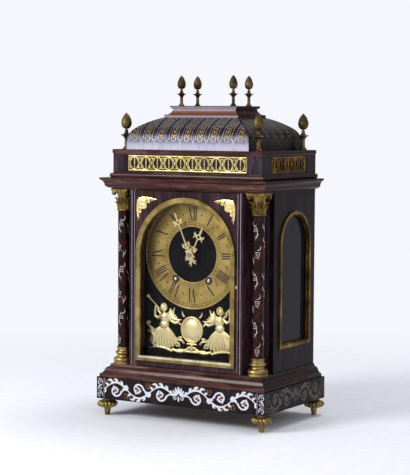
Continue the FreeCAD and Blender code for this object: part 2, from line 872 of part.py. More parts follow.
def dial_plate():
    board = block(-post_x, post_x, dial_front, dial_back, floor_top, case_top)
    board = board.cut(fine_hole(hour_pipe + 2.0, hands, dial_front - 1, dial_back + 1))
    for place in winding_places():
        board = board.cut(fine_hole(winding_hole, place, dial_front - 1, dial_back + 1))
    return board


def chapter_ring():
    front = dial_front - ring_thick
    chapters = fine_rod(ring_outer, hands, front, dial_front, ring_sides)
    chapters = chapters.cut(fine_rod(ring_inner, hands, front - 1, dial_front + 1, ring_sides))
    for place in winding_places():
        chapters = chapters.cut(fine_hole(winding_hole, place, front - 1, dial_front + 1))
    return chapters


def dial_mount():
    """Two winged trumpeters either side of an oval boss, on a scrolled ground."""
    y0 = dial_front - mount_thick
    low = floor_top + mount_bottom
    rise = hand_z - ring_outer - low
    half = arch_width / 2

    def relief(points, step):
        places = [(point[0] * half, low + point[1] * rise) + point[2:] for point in points]
        return slab(places, y0 + step * mount_thick, dial_front)
    ground = relief([(-0.82, 0.03), (-0.4, -0.03), (0, 0.03), (0.4, -0.03), (0.82, 0.03), (0.76, 0.18),
                     (0.2, 0.18), (0, 0.27), (-0.2, 0.18), (-0.76, 0.18)], 0.2)
    oval = relief([(-0.23, 0.53), (-0.12, 0.24, -0.2), (0.12, 0.24, -0.22), (0.23, 0.53, -0.2),
                   (0.12, 0.82, -0.2), (-0.12, 0.82, -0.22)], 0.0)
    tail = relief([(0.35, 0.09), (0.82, 0.06), (0.94, 0.28, -0.3), (0.8, 0.4), (0.72, 0.47), (0.67, 0.74),
                   (0.64, 0.94), (0.54, 0.94), (0.47, 0.65), (0.34, 0.36)], 0.2)
    head = fine_rod(0.075 * half, (0.59 * half, low + 0.96 * rise), y0 + 0.1 * mount_thick, dial_front)
    trumpet = relief([(0.64, 0.9), (0.88, 1.13), (0.925, 1.27), (0.82, 1.23), (0.62, 0.96)], 0.3)
    wing = relief([(0.55, 0.83), (0.33, 0.92), (0.22, 0.82), (0.25, 0.68), (0.5, 0.59)], 0.4)
    figure = fused([tail, head, trumpet, wing])
    return fused([ground, oval, figure, mirrored(figure)])


def hand(reach, front, boss, bore, angle):
    """Tapered hand with a pierced head, a boss and a forked tail."""
    wide = 0.1 * reach
    tail_long = 0.24 * minute_reach
    back = front + hand_thick
    blade = slab([(-1.6, 0), (-1.0, 0.55 * reach), (-wide, 0.66 * reach, 0.3), (-wide, 0.8 * reach),
                  (0, reach), (wide, 0.8 * reach), (wide, 0.66 * reach), (1.0, 0.55 * reach, 0.3), (1.6, 0)],
                 front, back)
    eye = slab([(-0.5 * wide, 0.7 * reach), (0, 0.78 * reach), (0.5 * wide, 0.7 * reach), (0, 0.64 * reach)],
               front - 1, back + 1)
    tail = slab([(-2.6, 0), (2.6, 0), (3.6, -0.94 * tail_long), (1.4, -0.76 * tail_long), (0, -tail_long),
                 (-1.4, -0.76 * tail_long), (-3.6, -0.94 * tail_long)], front, back)
    centre = fine_rod(boss, (0, 0), front, back, 14)
    shape = fused([blade.cut(eye), tail, centre]).cut(fine_hole(bore, (0, 0), front - 1, back + 1))
    shape.rotate(Vector(0, 0, 0), Vector(0, 1, 0), angle)
    return moved(shape, 0, 0, hand_z)


def hour_hand():
    return hand(ring_inner + hour_over, hour_hand_front, hour_pipe + 2.9, hour_pipe, hour_angle)


def minute_hand():
    return hand(minute_reach, minute_hand_front, cannon_pipe + 2.5, cannon_pipe, minute_angle)


def hand_collet():
    front = minute_hand_front - 1.0
    cap = fine_rod(cannon_pipe + 1.2, hands, front, minute_hand_front)
    return cap.cut(fine_hole(centre_radius + running_fit, hands, front - 1, minute_hand_front + 1))


# ---- movement -----------------------------------------------------------------------------
def bearing(plate, place, radius, y0, y1):
    return plate.cut(fine_hole(radius + running_fit, place, y0 - 1, y1 + 1))


def plate(y0, y1):
    shape = block(-plate_x, plate_x, y0, y1, plate_bottom, plate_top)
    for place in (middle, third, escape, pallet, pin_arbor, fly_arbor, hammer_arbor):
        shape = bearing(shape, place, arbor_radius, y0, y1)
    for place in winding_places():
        shape = bearing(shape, place, winding_radius, y0, y1)
    return bearing(shape, hands, centre_radius, y0, y1)


def movement_plates():
    stud = fine_rod(motion_stud, motion, hour_layer - 1.2, front_plate)
    front = fused([plate(front_plate, plates_inner), stud])
    return Part.makeCompound([front, plate(back_plate, plates_outer)])


def movement_pillars():
    waist = 0.6 * pillar_radius
    end = pillar_radius
    pillar = turned([(0, 0), (pillar_radius, 0), (pillar_radius, end), (waist, 2 * end),
                     (waist, plate_space - 2 * end), (pillar_radius, plate_space - end),
                     (pillar_radius, plate_space), (0, plate_space)], 8)
    pillar.rotate(Vector(0, 0, 0), Vector(1, 0, 0), -90)
    return Part.makeCompound([moved(pillar, x, plates_inner, z) for x, z in pillars])


def seat_board():
    """Board across the case that carries the movement."""
    front = front_plate - 6.0
    back = plates_outer + 2.0
    plan = [(-post_x, front), (post_x, front), (post_x, post_back), (inner_x, post_back), (inner_x, back),
            (-inner_x, back), (-inner_x, post_back), (-post_x, post_back)]
    return prism(plan, plate_bottom - seat_thick, plate_bottom)


def winding_arbor(place):
    square = winding_square / 2
    x, z = place
    key_end = block(x - square, x + square, dial_front - 1.5, front_plate - 1, z - square, z + square)
    return fused([key_end, fine_rod(winding_radius, place, front_plate - 1, plates_outer)])


def barrel(place, toward):
    """Great wheel and hollow drum that turn on the winding arbor."""
    wheel = toothed(great_teeth, great_module, place, great_layer, drum_layer, heading(place, toward))
    drum_back = drum_layer + drum_length
    drum = fine_rod(drum_radius, place, drum_layer, drum_back, 24)
    hollow = fine_rod(drum_radius - drum_wall, place, drum_layer + drum_wall, drum_back - drum_wall, 24)
    shape = fused([wheel, drum.cut(hollow)])
    return shape.cut(fine_hole(winding_radius + running_fit, place, great_layer - 1, drum_back + 1))


def wheel_on_arbor(place, radius, y0, y1, wheels):
    """Arbor with its wheel and pinion: (teeth, module, depth, thickness, angle, crossed out)."""
    parts = [fine_rod(radius, place, y0, y1)]
    for teeth, module, low, thick, angle, crossed in wheels:
        wheel = toothed(teeth, module, place, low, low + thick, angle)
        if crossed:
            pitch = module * teeth / 2
            wheel = crossed_out(wheel, place, pitch - 3.2 * module, 2.5 * radius, low, low + thick)
        parts.append(wheel)
    return fused(parts)


def pinion_angle(place, partner, count=leaves):
    return heading(place, partner) + 180 / count


def going_barrel():
    return barrel(going, middle)


def strike_barrel():
    return barrel(strike, pin_arbor)


def middle_wheel():
    return wheel_on_arbor(middle, arbor_radius, front_plate, plates_outer, [
        (leaves, great_module, great_layer - 1, wheel_thick + 3, pinion_angle(middle, going), False),
        (middle_teeth, middle_module, middle_layer, wheel_thick, heading(middle, hands), True)])


def centre_wheel():
    return wheel_on_arbor(hands, centre_radius, minute_hand_front - 1.8, plates_outer, [
        (leaves, middle_module, middle_layer - 1, wheel_thick + 2, pinion_angle(hands, middle), False),
        (centre_teeth, centre_module, centre_layer, wheel_thick, heading(hands, third), True)])


def third_wheel():
    return wheel_on_arbor(third, arbor_radius, front_plate, plates_outer, [
        (leaves, centre_module, centre_layer - 1, wheel_thick + 2, pinion_angle(third, hands), False),
        (third_teeth, third_module, third_layer, wheel_thick, heading(third, escape), True)])


def escape_wheel():
    """Raked escape teeth, and the pinion that the third wheel drives."""
    pitch = 360 / escape_teeth
    points = []
    for tooth in range(escape_teeth):
        points.append(place_from(escape, escape_radius - 3, tooth * pitch))
        points.append(place_from(escape, escape_radius, (tooth + 0.3) * pitch))
    crown = slab(points, escape_layer, escape_layer + wheel_thick / 2)
    arbor = wheel_on_arbor(escape, arbor_radius, front_plate, plates_outer, [
        (leaves, third_module, third_layer - 1, wheel_thick + 2, pinion_angle(escape, third), False)])
    return fused([arbor, crown])


def pallets():
    """Anchor over the escape wheel, with the crutch behind the back plate."""
    reach = escape_radius + 1.3
    tips = [place_from(escape, reach, 90 + side * 50) for side in (-1, 1)]
    x, z = tips[0]
    top = pallet[1]
    anchor = slab([(x, z), (x + 2.4, z + 1.2), (5, top - 1.5), (3, top + 3, 0.3), (-3, top + 3, 0.3),
                   (-5, top - 1.5, 0.3), (-x - 2.4, z + 1.2), (-x, z), (-x + 3.4, z + 3.6),
                   (0, top - 4, -0.2),
                   (x - 3.4, z + 3.6, -0.2)], escape_layer, escape_layer + wheel_thick / 2)
    rear = plates_outer + 2.5
    arbor = fine_rod(arbor_radius, pallet, front_plate, rear + 2)
    crutch = slab([(-1.2, top), (-1.2, top - 40), (1.2, top - 40), (1.2, top)], rear, rear + 2)
    hub = fine_rod(2.6, pallet, rear, rear + 2)
    fork_y = pendulum_y + 2.5
    prongs = [block(side * 2.2 - 0.7, side * 2.2 + 0.7, rear, fork_y, top - 44, top - 40) for side in (-1, 1)]
    bridge = block(-2.9, 2.9, rear, rear + 2, top - 44, top - 39)
    return fused([anchor, arbor, crutch, hub, bridge] + prongs)


def pendulum():
    """Suspension spring, rod, lens-shaped bob and rating nut."""
    top = pallet[1]
    rod_foot = floor_top + pendulum_clear
    bob_z = rod_foot + rod_end + bob_radius
    spring = block(-2.5, 2.5, pendulum_y - 0.3, pendulum_y + 0.3, top - 10, top + 3.5)
    bar = pin(arbor_radius, 0, pendulum_y, rod_foot, top - 8)
    half = bob_thick / 2
    edge = 0.07 * bob_thick
    lens = turned([(0, -half), (bob_radius - 1, -edge, -0.16), (bob_radius, 0), (bob_radius - 1, edge),
                   (0, half, -0.16)], 16)
    lens.rotate(Vector(0, 0, 0), Vector(1, 0, 0), 90)
    nut = pin(2.5 * arbor_radius, 0, pendulum_y, rod_foot + 0.25 * rod_end, rod_foot + 0.7 * rod_end)
    return fused([spring, bar, moved(lens, 0, pendulum_y, bob_z), nut])


def suspension_cock():
    top = pallet[1]
    return block(-7, 7, plates_outer, pendulum_y + 4, top + 3.5 + free_gap, top + 9)


def pin_wheel():
    wheel = wheel_on_arbor(pin_arbor, arbor_radius, front_plate, plates_outer, [
        (leaves, great_module, great_layer - 1, wheel_thick + 3, pinion_angle(pin_arbor, strike), False),
        (middle_teeth, middle_module, middle_layer, wheel_thick, heading(pin_arbor, fly_arbor), False)])
    pins = []
    for index in range(pin_count):
        place = place_from(pin_arbor, pin_circle, index * 360 / pin_count)
        pins.append(fine_rod(strike_pin, place, middle_layer - 4, middle_layer, 6))
    return fused([wheel] + pins)


def fly():
    """Air brake of the strike: a pinion and a broad vane."""
    x, z = fly_arbor
    arbor = wheel_on_arbor(fly_arbor, arbor_radius, front_plate, plates_outer, [
        (leaves, middle_module, middle_layer - 1, wheel_thick + 2,
         pinion_angle(fly_arbor, pin_arbor), False)])
    vane = block(x - fly_reach, x + fly_reach, plates_inner + 8, plates_inner + 24, z - 0.5, z + 0.5)
    return fused([arbor, vane])


def hammer():
    """Arbor with a tail beside the pin wheel and a head beside the bell."""
    x, z = hammer_arbor
    arbor = fine_rod(arbor_radius, hammer_arbor, front_plate, plates_outer)
    head_z = bell_z + 3.0
    face = -bell_radius - 2.0
    arm = slab([(x - 1.2, z - 2), (x + 1.2, z - 2), (x + 1.2, head_z - 3), (face - 7, head_z - 2),
                (face - 7, head_z + 1), (x - 1.2, head_z)], bell_y - 1.5, bell_y + 1.5)
    head = block(face - 8, face, bell_y - 3.5, bell_y + 3.5, head_z - 4, head_z + 4)
    tail_y = middle_layer - 3
    tip = place_from(pin_arbor, pin_circle + strike_pin + 3.0, heading(pin_arbor, hammer_arbor) - 6)
    tail = slab([(x - 1.2, z), (tip[0] - 1, tip[1]), (tip[0] + 1, tip[1]), (x + 1.2, z)], tail_y, tail_y + 2)
    return fused([arbor, arm, head, tail])


def bell():
    """Cast bell hung under an iron bracket on the back plate."""
    outer = [(0, bell_height), (0.3 * bell_radius, bell_height), (0.86 * bell_radius, 0.4 * bell_height, 0.4),
             (bell_radius, 0)]
    inner = [(bell_radius - bell_wall, 0), (0.86 * bell_radius - bell_wall, 0.4 * bell_height - 0.5),
             (0.3 * bell_radius - 0.5, bell_height - bell_wall, -0.4), (0, bell_height - bell_wall)]
    cup = moved(turned(outer + inner, 16), 0, bell_y, bell_z)
    arm_z = bell_z + bell_height
    side = 22.0
    back = plates_outer + bell_bracket
    top = arm_z + bell_bracket
    strip = block(side, side + 8, plates_outer, back, plate_top - bell_strap, top)
    arm = prism([(side, back), (side + 8, back), (5, bell_y - 5), (-5, bell_y - 5), (-5, bell_y + 4)],
                arm_z, top)
    return Part.makeCompound([cup, fused([strip, arm])])


def cannon_pinion():
    pipe = fine_rod(cannon_pipe, hands, minute_hand_front, minute_layer + wheel_thick)
    leaves_part = toothed(cannon_leaves, motion_module, hands, minute_layer, minute_layer + wheel_thick,
                          pinion_angle(hands, motion, cannon_leaves))
    bore = fine_hole(centre_radius + running_fit, hands, minute_hand_front - 1, front_plate)
    return fused([pipe, leaves_part]).cut(bore)


def minute_wheel():
    wheel = toothed(minute_teeth, motion_module, motion, minute_layer, minute_layer + wheel_thick,
                    heading(motion, hands))
    pinion = toothed(leaves, motion_module, motion, hour_layer - 0.5, minute_layer,
                     pinion_angle(motion, hands))
    bore = fine_hole(motion_stud + running_fit, motion, hour_layer - 2, front_plate)
    return fused([wheel, pinion]).cut(bore)


def hour_wheel():
    pipe = fine_rod(hour_pipe, hands, hour_hand_front, hour_layer + wheel_thick)
    wheel = toothed(hour_teeth, motion_module, hands, hour_layer, hour_layer + wheel_thick,
                    heading(hands, motion))
    bore = fine_hole(cannon_pipe + running_fit, hands, hour_hand_front - 1, minute_layer)
    return fused([pipe, wheel]).cut(bore)


pieces = {
    "feet": feet,
    "plinth": plinth,
    "base_moulding": base_moulding,
    "base_board": base_board,
    "side_panels": side_panels,
    "side_window_frames": side_window_frames,
    "side_glasses": side_glasses,
    "corner_posts": corner_posts,
    "top_board": top_board,
    "cornice": cornice,
    "gallery_base": gallery_base,
    "gallery_walls": gallery_walls,
    "gallery_frets": gallery_frets,
    "gallery_lid": gallery_lid,
    "dome": dome,
    "platform": platform,
    "corner_finials": corner_finials,
    "top_finials": top_finials,
    "column_bases": column_bases,
    "column_shafts": column_shafts,
    "capitals": capitals,
    "door_frame": door_frame,
    "door_glass": door_glass,
    "door_moulding": door_moulding,
    "spandrels": spandrels,
    "escutcheon": escutcheon,
    "door_pivots": lambda: pivot_pins(door_x, case_front, 1, door_bottom, door_top),
    "door_lock": door_lock,
    "lock_bolt": lock_bolt,
    "back_stiles": back_stiles,
    "back_door": back_door,
    "back_door_pivots": lambda: pivot_pins(back_door_x, case_back, -1,
                                           floor_top + back_gap, case_top - back_gap),
    "back_latch": back_latch,
    "dial_plate": dial_plate,
    "chapter_ring": chapter_ring,
    "dial_mount": dial_mount,
    "hour_hand": hour_hand,
    "minute_hand": minute_hand,
    "hand_collet": hand_collet,
    "movement_plates": movement_plates,
    "movement_pillars": movement_pillars,
    "seat_board": seat_board,
    "going_barrel": going_barrel,
    "strike_barrel": strike_barrel,
    "going_arbor": lambda: winding_arbor(going),
    "strike_arbor": lambda: winding_arbor(strike),
    "middle_wheel": middle_wheel,
    "centre_wheel": centre_wheel,
    "third_wheel": third_wheel,
    "escape_wheel": escape_wheel,
    "pallets": pallets,
    "pendulum": pendulum,
    "suspension_cock": suspension_cock,
    "pin_wheel": pin_wheel,
    "fly": fly,
    "hammer": hammer,
    "bell": bell,
    "cannon_pinion": cannon_pinion,
    "minute_wheel": minute_wheel,
    "hour_wheel": hour_wheel,
}

os.makedirs("parts", exist_ok=True)
for name, make in pieces.items():
    make().exportStep("parts/" + name + ".step")
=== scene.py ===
import json
from math import atan2, cos, dist, pi, radians, sin
import bpy
from mathutils import Matrix, Vector
from mathutils.bvhtree import BVHTree


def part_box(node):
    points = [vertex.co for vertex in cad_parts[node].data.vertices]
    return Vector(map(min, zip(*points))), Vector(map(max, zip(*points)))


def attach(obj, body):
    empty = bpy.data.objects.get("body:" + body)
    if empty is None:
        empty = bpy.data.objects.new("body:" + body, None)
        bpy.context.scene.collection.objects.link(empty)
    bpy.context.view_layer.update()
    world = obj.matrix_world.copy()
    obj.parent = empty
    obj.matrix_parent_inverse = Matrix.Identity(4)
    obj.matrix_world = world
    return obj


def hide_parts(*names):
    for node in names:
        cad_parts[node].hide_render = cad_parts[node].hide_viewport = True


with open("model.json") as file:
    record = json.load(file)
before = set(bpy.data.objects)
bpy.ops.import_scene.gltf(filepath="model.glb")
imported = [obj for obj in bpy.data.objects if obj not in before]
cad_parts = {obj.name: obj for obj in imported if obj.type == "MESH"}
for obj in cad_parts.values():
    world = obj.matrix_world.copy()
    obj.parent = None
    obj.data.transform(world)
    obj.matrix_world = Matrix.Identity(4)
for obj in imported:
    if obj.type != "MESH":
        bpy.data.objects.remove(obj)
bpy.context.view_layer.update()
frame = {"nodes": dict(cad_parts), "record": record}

nodes = frame["nodes"]
mm = 0.001  # pieces are drawn and placed in millimetres; view, lights and finishes are in metres
print("frame loaded:", len(nodes), "nodes")


# placing and editing

def deselect():
    if bpy.context.object and bpy.context.object.mode != "OBJECT":
        bpy.ops.object.mode_set(mode="OBJECT")
    bpy.ops.object.select_all(action="DESELECT")


def pick(obj):
    deselect()
    obj.select_set(True)
    bpy.context.view_layer.objects.active = obj


def editAll():
    bpy.ops.object.mode_set(mode="EDIT")
    bpy.ops.mesh.select_all(action="SELECT")


def span(node):
    low, high = (Vector(corner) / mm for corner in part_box(node))
    return low, high, (low + high) / 2


def move(x=0, y=0, z=0):
    return Matrix.Translation(Vector((x, y, z)) * mm)


def spin(degrees, axis="Z"):
    return Matrix.Rotation(radians(degrees), 4, axis)


def stretch(x, y, z):
    return Matrix.Diagonal((x, y, z, 1))


def toSide(sign, x, y, z=0):
    # front-facing work turned to the right or left side of the case
    return move(sign * x, y, z) @ spin(90 * sign)


def settle(obj, matrix=None):
    if matrix is not None:
        obj.matrix_world = matrix
    pick(obj)
    bpy.ops.object.transform_apply(location=True, rotation=True, scale=True)
    return obj


def join(parts):
    deselect()
    for part in parts:
        part.select_set(True)
    bpy.context.view_layer.objects.active = parts[0]
    if len(parts) > 1:
        bpy.ops.object.join()
    return settle(bpy.context.object)


def copyOf(obj, matrix):
    twin = obj.copy()
    twin.data = obj.data.copy()
    bpy.context.collection.objects.link(twin)
    return settle(twin, matrix @ obj.matrix_world)


def copies(first, matrices):
    made = [copyOf(first, matrix) for matrix in matrices]
    bpy.data.objects.remove(first)
    return made


def outward(obj, merge=0.02):
    pick(obj)
    editAll()
    bpy.ops.mesh.remove_doubles(threshold=merge * mm)
    bpy.ops.mesh.normals_make_consistent(inside=False)
    bpy.ops.object.mode_set(mode="OBJECT")
    return obj


def reshape(obj, rule):
    # rule gives each corner's new place from its old one
    for vertex in obj.data.vertices:
        vertex.co = Vector(rule(*(vertex.co / mm))) * mm
    return obj


def modified(obj, kind, **settings):
    pick(obj)
    bpy.ops.object.modifier_add(type=kind)
    change = obj.modifiers[-1]
    for key, value in settings.items():
        setattr(change, key, value)
    bpy.ops.object.modifier_apply(modifier=change.name)
    return obj


def finish(obj, name, material, slot, body, *replaced, angle=35):
    obj.name = name
    obj.data.materials.clear()
    obj.data.materials.append(material)
    pick(obj)
    bpy.ops.object.shade_smooth_by_angle(angle=radians(angle))
    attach(obj, body)
    if replaced:
        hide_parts(*replaced)


# solids that the pieces start from

def block(size, place):
    deselect()
    bpy.ops.mesh.primitive_cube_add(size=mm)
    return settle(bpy.context.object, move(*place) @ stretch(*size))


def ball(size, matrix, segments, rings):
    deselect()
    bpy.ops.mesh.primitive_uv_sphere_add(segments=segments, ring_count=rings, radius=mm)
    return settle(bpy.context.object, matrix @ stretch(*size))


def turned(stations, sides=32, place=(0, 0, 0)):
    # a disc drawn up through stations of (radius, height)
    deselect()
    radius, height = stations[0]
    bpy.ops.mesh.primitive_circle_add(vertices=sides, radius=radius * mm, fill_type="NGON",
                                      location=(0, 0, height * mm))
    piece = settle(bpy.context.object)
    editAll()
    for nextRadius, nextHeight in stations[1:]:
        rise = (0, 0, (nextHeight - height) * mm)
        bpy.ops.mesh.extrude_region_move(TRANSFORM_OT_translate={"value": rise})
        grow = nextRadius / radius
        bpy.ops.transform.resize(value=(grow, grow, 1), center_override=(0, 0, nextHeight * mm))
        radius, height = nextRadius, nextHeight
    bpy.ops.mesh.select_all(action="SELECT")
    bpy.ops.mesh.normals_make_consistent(inside=False)
    bpy.ops.object.mode_set(mode="OBJECT")
    return settle(piece, move(*place))


def rounded(points, steps):
    # (radius, height, bulge): bulge bends the run that ends there, outwards when positive
    stations = [points[0][:2]]
    for start, end in zip(points, points[1:]):
        if len(end) == 3:
            run = Vector(end[:2]) - Vector(start[:2])
            side = Vector((run.y, -run.x)) * end[2]
            for step in range(1, steps):
                share = step / steps
                spot = Vector(start[:2]) + run * share + side * sin(pi * share) * 0.5
                stations.append((max(spot.x, 0.1), spot.y))
        stations.append(end[:2])
    return stations


def profile(points, height, radius=1, steps=4):
    # an outline given in shares of a height and a radius
    return rounded([(reach * radius, up * height, *bulge) for reach, up, *bulge in points], steps)


def strokes(lines, flat, detail, matrix=Matrix()):
    # drawn work facing -Y: each line of (across, up, half width) becomes a rounded ribbon
    deselect()
    bpy.ops.curve.primitive_nurbs_path_add()
    curve = bpy.context.object.data
    curve.splines.clear()
    curve.bevel_depth = 1
    curve.bevel_resolution = detail
    curve.use_fill_caps = True
    for line in lines:
        spline = curve.splines.new("POLY")
        spline.points.add(len(line) - 1)
        for point, (across, up, half) in zip(spline.points, line):
            point.co = (across * mm, 0, up * mm, 1)
            point.radius = max(half, 0.04) * mm
    bpy.ops.object.convert(target="MESH")
    return settle(bpy.context.object, matrix @ stretch(1, flat, 1))


# lines for drawn work

def alternate(index):
    return -1 if index % 2 else 1


def spiral(centre, start, end, startAngle, turns, width, tip, knob):
    # a scroll from an outer radius to an inner one, thick where it starts and ending in a small knob
    steps = max(10, int(abs(turns) * 18))
    line = []
    for step in range(steps + 1):
        share = step / steps
        radius = start * (end / start) ** share
        angle = radians(startAngle) + 2 * pi * turns * share
        half = width * (1 - share * (1 - tip))
        line.append((centre[0] + radius * cos(angle), centre[1] + radius * sin(angle), half))
    line[-1] = line[-1][:2] + (knob,)
    return line


def bent(start, end, bow, width, tip=0.1, swell=0.0, steps=8):
    # a tapering line between two places that bows to its left
    run = Vector(end) - Vector(start)
    side = Vector((-run.y, run.x)) * bow
    line = []
    for step in range(steps + 1):
        share = step / steps
        spot = Vector(start) + run * share + side * sin(pi * share)
        line.append((spot.x, spot.y, width * (1 - share * (1 - tip)) + swell * sin(pi * share)))
    return line


def leafRow(line, length, width, every, lean, first=1):
    # leaves that grow from one side of a scroll, shorter towards its end
    grown = []
    for index in range(first, len(line) - 2, every):
        here = Vector(line[index][:2])
        ahead = Vector(line[index + 1][:2]) - here
        share = 1 - index / len(line)
        turn = atan2(ahead.y, ahead.x) + radians(lean)
        tip = here + Vector((cos(turn), sin(turn))) * length * (0.35 + 0.65 * share)
        bow = -0.18 if lean > 0 else 0.18
        grown.append(bent(here, tip, bow, width * (0.5 + 0.5 * share), 0.2, width * 0.5, 4))
    return grown


def rosette(centre, radius, petals=6):
    tips = [(centre[0] + radius * cos(turn), centre[1] + radius * sin(turn))
            for turn in [2 * pi * petal / petals for petal in range(petals)]]
    return [bent(centre, tip, 0, radius * 0.14, 0.4, radius * 0.2, 4) for tip in tips]


def circleLine(radius, width, sides=120):
    turns = [2 * pi * step / sides for step in range(sides + 1)]
    return [(radius * sin(turn), radius * cos(turn), width) for turn in turns]


def archLine(half, bottom, top, inset, width):
    # round an arched opening from its lower left corner, set in from the outline
    half, bottom, top = half - inset, bottom + inset, top - inset
    spring = top - half
    rise = [bottom + (spring - bottom) * step / 12 for step in range(13)]
    turns = [pi * step / 40 for step in range(1, 40)]
    line = [(-half, up, width) for up in rise]
    line += [(-half * cos(turn), spring + half * sin(turn), width) for turn in turns]
    line += [(half, up, width) for up in reversed(rise)]
    return line + [(half - half * step / 4, bottom, width) for step in range(1, 9)]


def alongLine(line, pitch):
    # evenly spaced places on a line
    places = []
    left = 0.0
    for start, end in zip(line, line[1:]):
        run = Vector(end[:2]) - Vector(start[:2])
        while left < run.length:
            places.append(Vector(start[:2]) + run * (left / run.length))
            left += pitch
        left -= run.length
    return places


def shifted(lines, across=0.0, up=0.0, flip=False):
    sign = -1 if flip else 1
    return [[(sign * u + across, v + up, half) for u, v, half in line] for line in lines]


def bothWays(lines):
    return lines + shifted(lines, flip=True)


def clockwise(lines, angle):
    return [[(u * cos(angle) + v * sin(angle), v * cos(angle) - u * sin(angle), half) for u, v, half in line]
            for line in lines]


# shader tools

class Term:
    # a socket that can be used in sums

    def __init__(self, graph, socket):
        self.graph = graph
        self.socket = socket

    def combine(self, other, operation, swap=False):
        values = [other, self] if swap else [self, other]
        return self.graph.node("ShaderNodeMath", {"operation": operation}, values)

    def __add__(self, other):
        return self.combine(other, "ADD")

    __radd__ = __add__

    def __sub__(self, other):
        return self.combine(other, "SUBTRACT")

    def __rsub__(self, other):
        return self.combine(other, "SUBTRACT", True)

    def __mul__(self, other):
        return self.combine(other, "MULTIPLY")

    __rmul__ = __mul__

    def __pow__(self, other):
        return self.combine(other, "POWER")

    def __gt__(self, other):
        return self.combine(other, "GREATER_THAN")

    def __abs__(self):
        return self.graph.node("ShaderNodeMath", {"operation": "ABSOLUTE"}, [self])


class Finish:
    # one material and the nodes that make it

    def __init__(self, name, **shell):
        self.material = bpy.data.materials.new(name)
        self.material.use_nodes = True
        self.tree = self.material.node_tree
        self.shader = self.tree.nodes["Principled BSDF"]
        for key, value in shell.items():
            self.shader.inputs[key.replace("_", " ")].default_value = value
        self.place = self.node("ShaderNodeTexCoord", {}, {}, "Object")

    def node(self, kind, settings, values, output=0):
        made = self.tree.nodes.new(kind)
        for key, value in settings.items():
            setattr(made, key, value)
        for key, value in values.items() if isinstance(values, dict) else enumerate(values):
            if isinstance(value, Term):
                self.tree.links.new(value.socket, made.inputs[key])
            else:
                made.inputs[key].default_value = value
        return Term(self, made.outputs[output])

    def feed(self, name, term):
        self.tree.links.new(term.socket, self.shader.inputs[name])

    def axis(self, letter):
        return self.node("ShaderNodeSeparateXYZ", {}, {"Vector": self.place}, letter)

    def stretched(self, scale):
        return self.node("ShaderNodeMapping", {}, {"Vector": self.place, "Scale": scale})

    def noise(self, scale, detail=4.0, rough=0.55, where=None, warp=0.0):
        return self.node("ShaderNodeTexNoise", {}, {"Vector": where or self.place, "Scale": scale,
                                                    "Detail": detail, "Roughness": rough,
                                                    "Distortion": warp}, "Fac")

    def ramp(self, value, stops):
        # stops of (place, linear colour), or (place, one level for a grey)
        made = self.node("ShaderNodeValToRGB", {}, {"Fac": value}, "Color")
        elements = made.socket.node.color_ramp.elements
        while len(elements) < len(stops):
            elements.new(0.5)
        for element, (spot, colour) in zip(elements, stops):
            element.position = spot
            element.color = colour if isinstance(colour, tuple) else (colour, colour, colour, 1)
        return made

    def level(self, value, low, high, start=0.0, end=1.0):
        return self.node("ShaderNodeMapRange", {}, {"Value": value, "From Min": low, "From Max": high,
                                                    "To Min": start, "To Max": end}, "Result")

    def blend(self, factor, first, second):
        return self.node("ShaderNodeMix", {"data_type": "RGBA"}, {0: factor, 6: first, 7: second}, 2)

    def bump(self, height, strength, distance):
        self.feed("Normal", self.node("ShaderNodeBump", {}, {"Height": height, "Strength": strength,
                                                             "Distance": distance}, "Normal"))

    def onFront(self, corner):
        # 1 on the faces in front of the mitre lines from the two front corners, 0 elsewhere
        return (corner - self.axis("Y")) > abs(self.axis("X"))


def rgb(red, green, blue):
    # screen colour out of 255 as linear light
    levels = [part / 255 for part in (red, green, blue)]
    return (*(part / 12.92 if part <= 0.04045 else ((part + 0.055) / 1.055) ** 2.4 for part in levels), 1)


def veneer(name, dark, middle, light, gloss, coat, wear, grain=(9, 9, 1.6), sides=None, paintedSheen=None):
    # polished wood: long streaks, fine pores and rubbed places; painted shade can darken its sides, painted
    # reflection band its front
    dark, middle, light = rgb(*dark), rgb(*middle), rgb(*light)
    clear = coat * 0.35
    made = Finish(name, Coat_Weight=clear, Coat_Roughness=0.14, Specular_IOR_Level=0.06)
    along = made.stretched(grain)
    streaks = made.noise(14, 6, 0.62, along, 0.9)
    figure = made.noise(3.2, 3, 0.5, along, 1.6)
    colour = made.ramp(streaks * 0.62 + figure * 0.38, [(0.36, dark), (0.52, middle), (0.70, light)])
    pores = made.noise(220, 2, 0.6, made.stretched([part / 3 for part in grain]))
    rubbed = made.level(made.noise(16, 5, 0.7), 0.58, 0.74)
    worn = made.blend(rubbed * wear, colour, light)
    if paintedSheen:
        # painted reflection: pale bands on the front where the lamps' reflection falls, as stops over the
        # height between two levels
        height = made.level(made.axis("Z"), paintedSheen["low"], paintedSheen["high"])
        paintedBands = made.ramp(height, [(spot, rgb(*shade)) for spot, shade in paintedSheen["colours"]])
        paintedShine = made.ramp(height, paintedSheen["strength"])
        uneven = made.level(streaks, 0.3, 0.7, 0.72, 1.0)
        worn = made.blend(paintedShine * uneven * made.onFront(sides[0]), worn, paintedBands)
    # painted shade: faces behind the front mitre lines are blended towards the dark colour by sideShade
    if sides:
        corner, sideShade = sides
        worn = made.blend((1 - made.onFront(corner)) * sideShade, worn, dark)
        made.feed("Coat Weight", made.onFront(corner) * clear)
    made.feed("Base Color", worn)
    made.feed("Roughness", made.level(pores, 0.3, 0.8, gloss - 0.05, gloss + 0.14) + rubbed * 0.12)
    made.bump(pores * 0.6 + streaks * 0.4, 0.12, 0.0002)
    return made.material


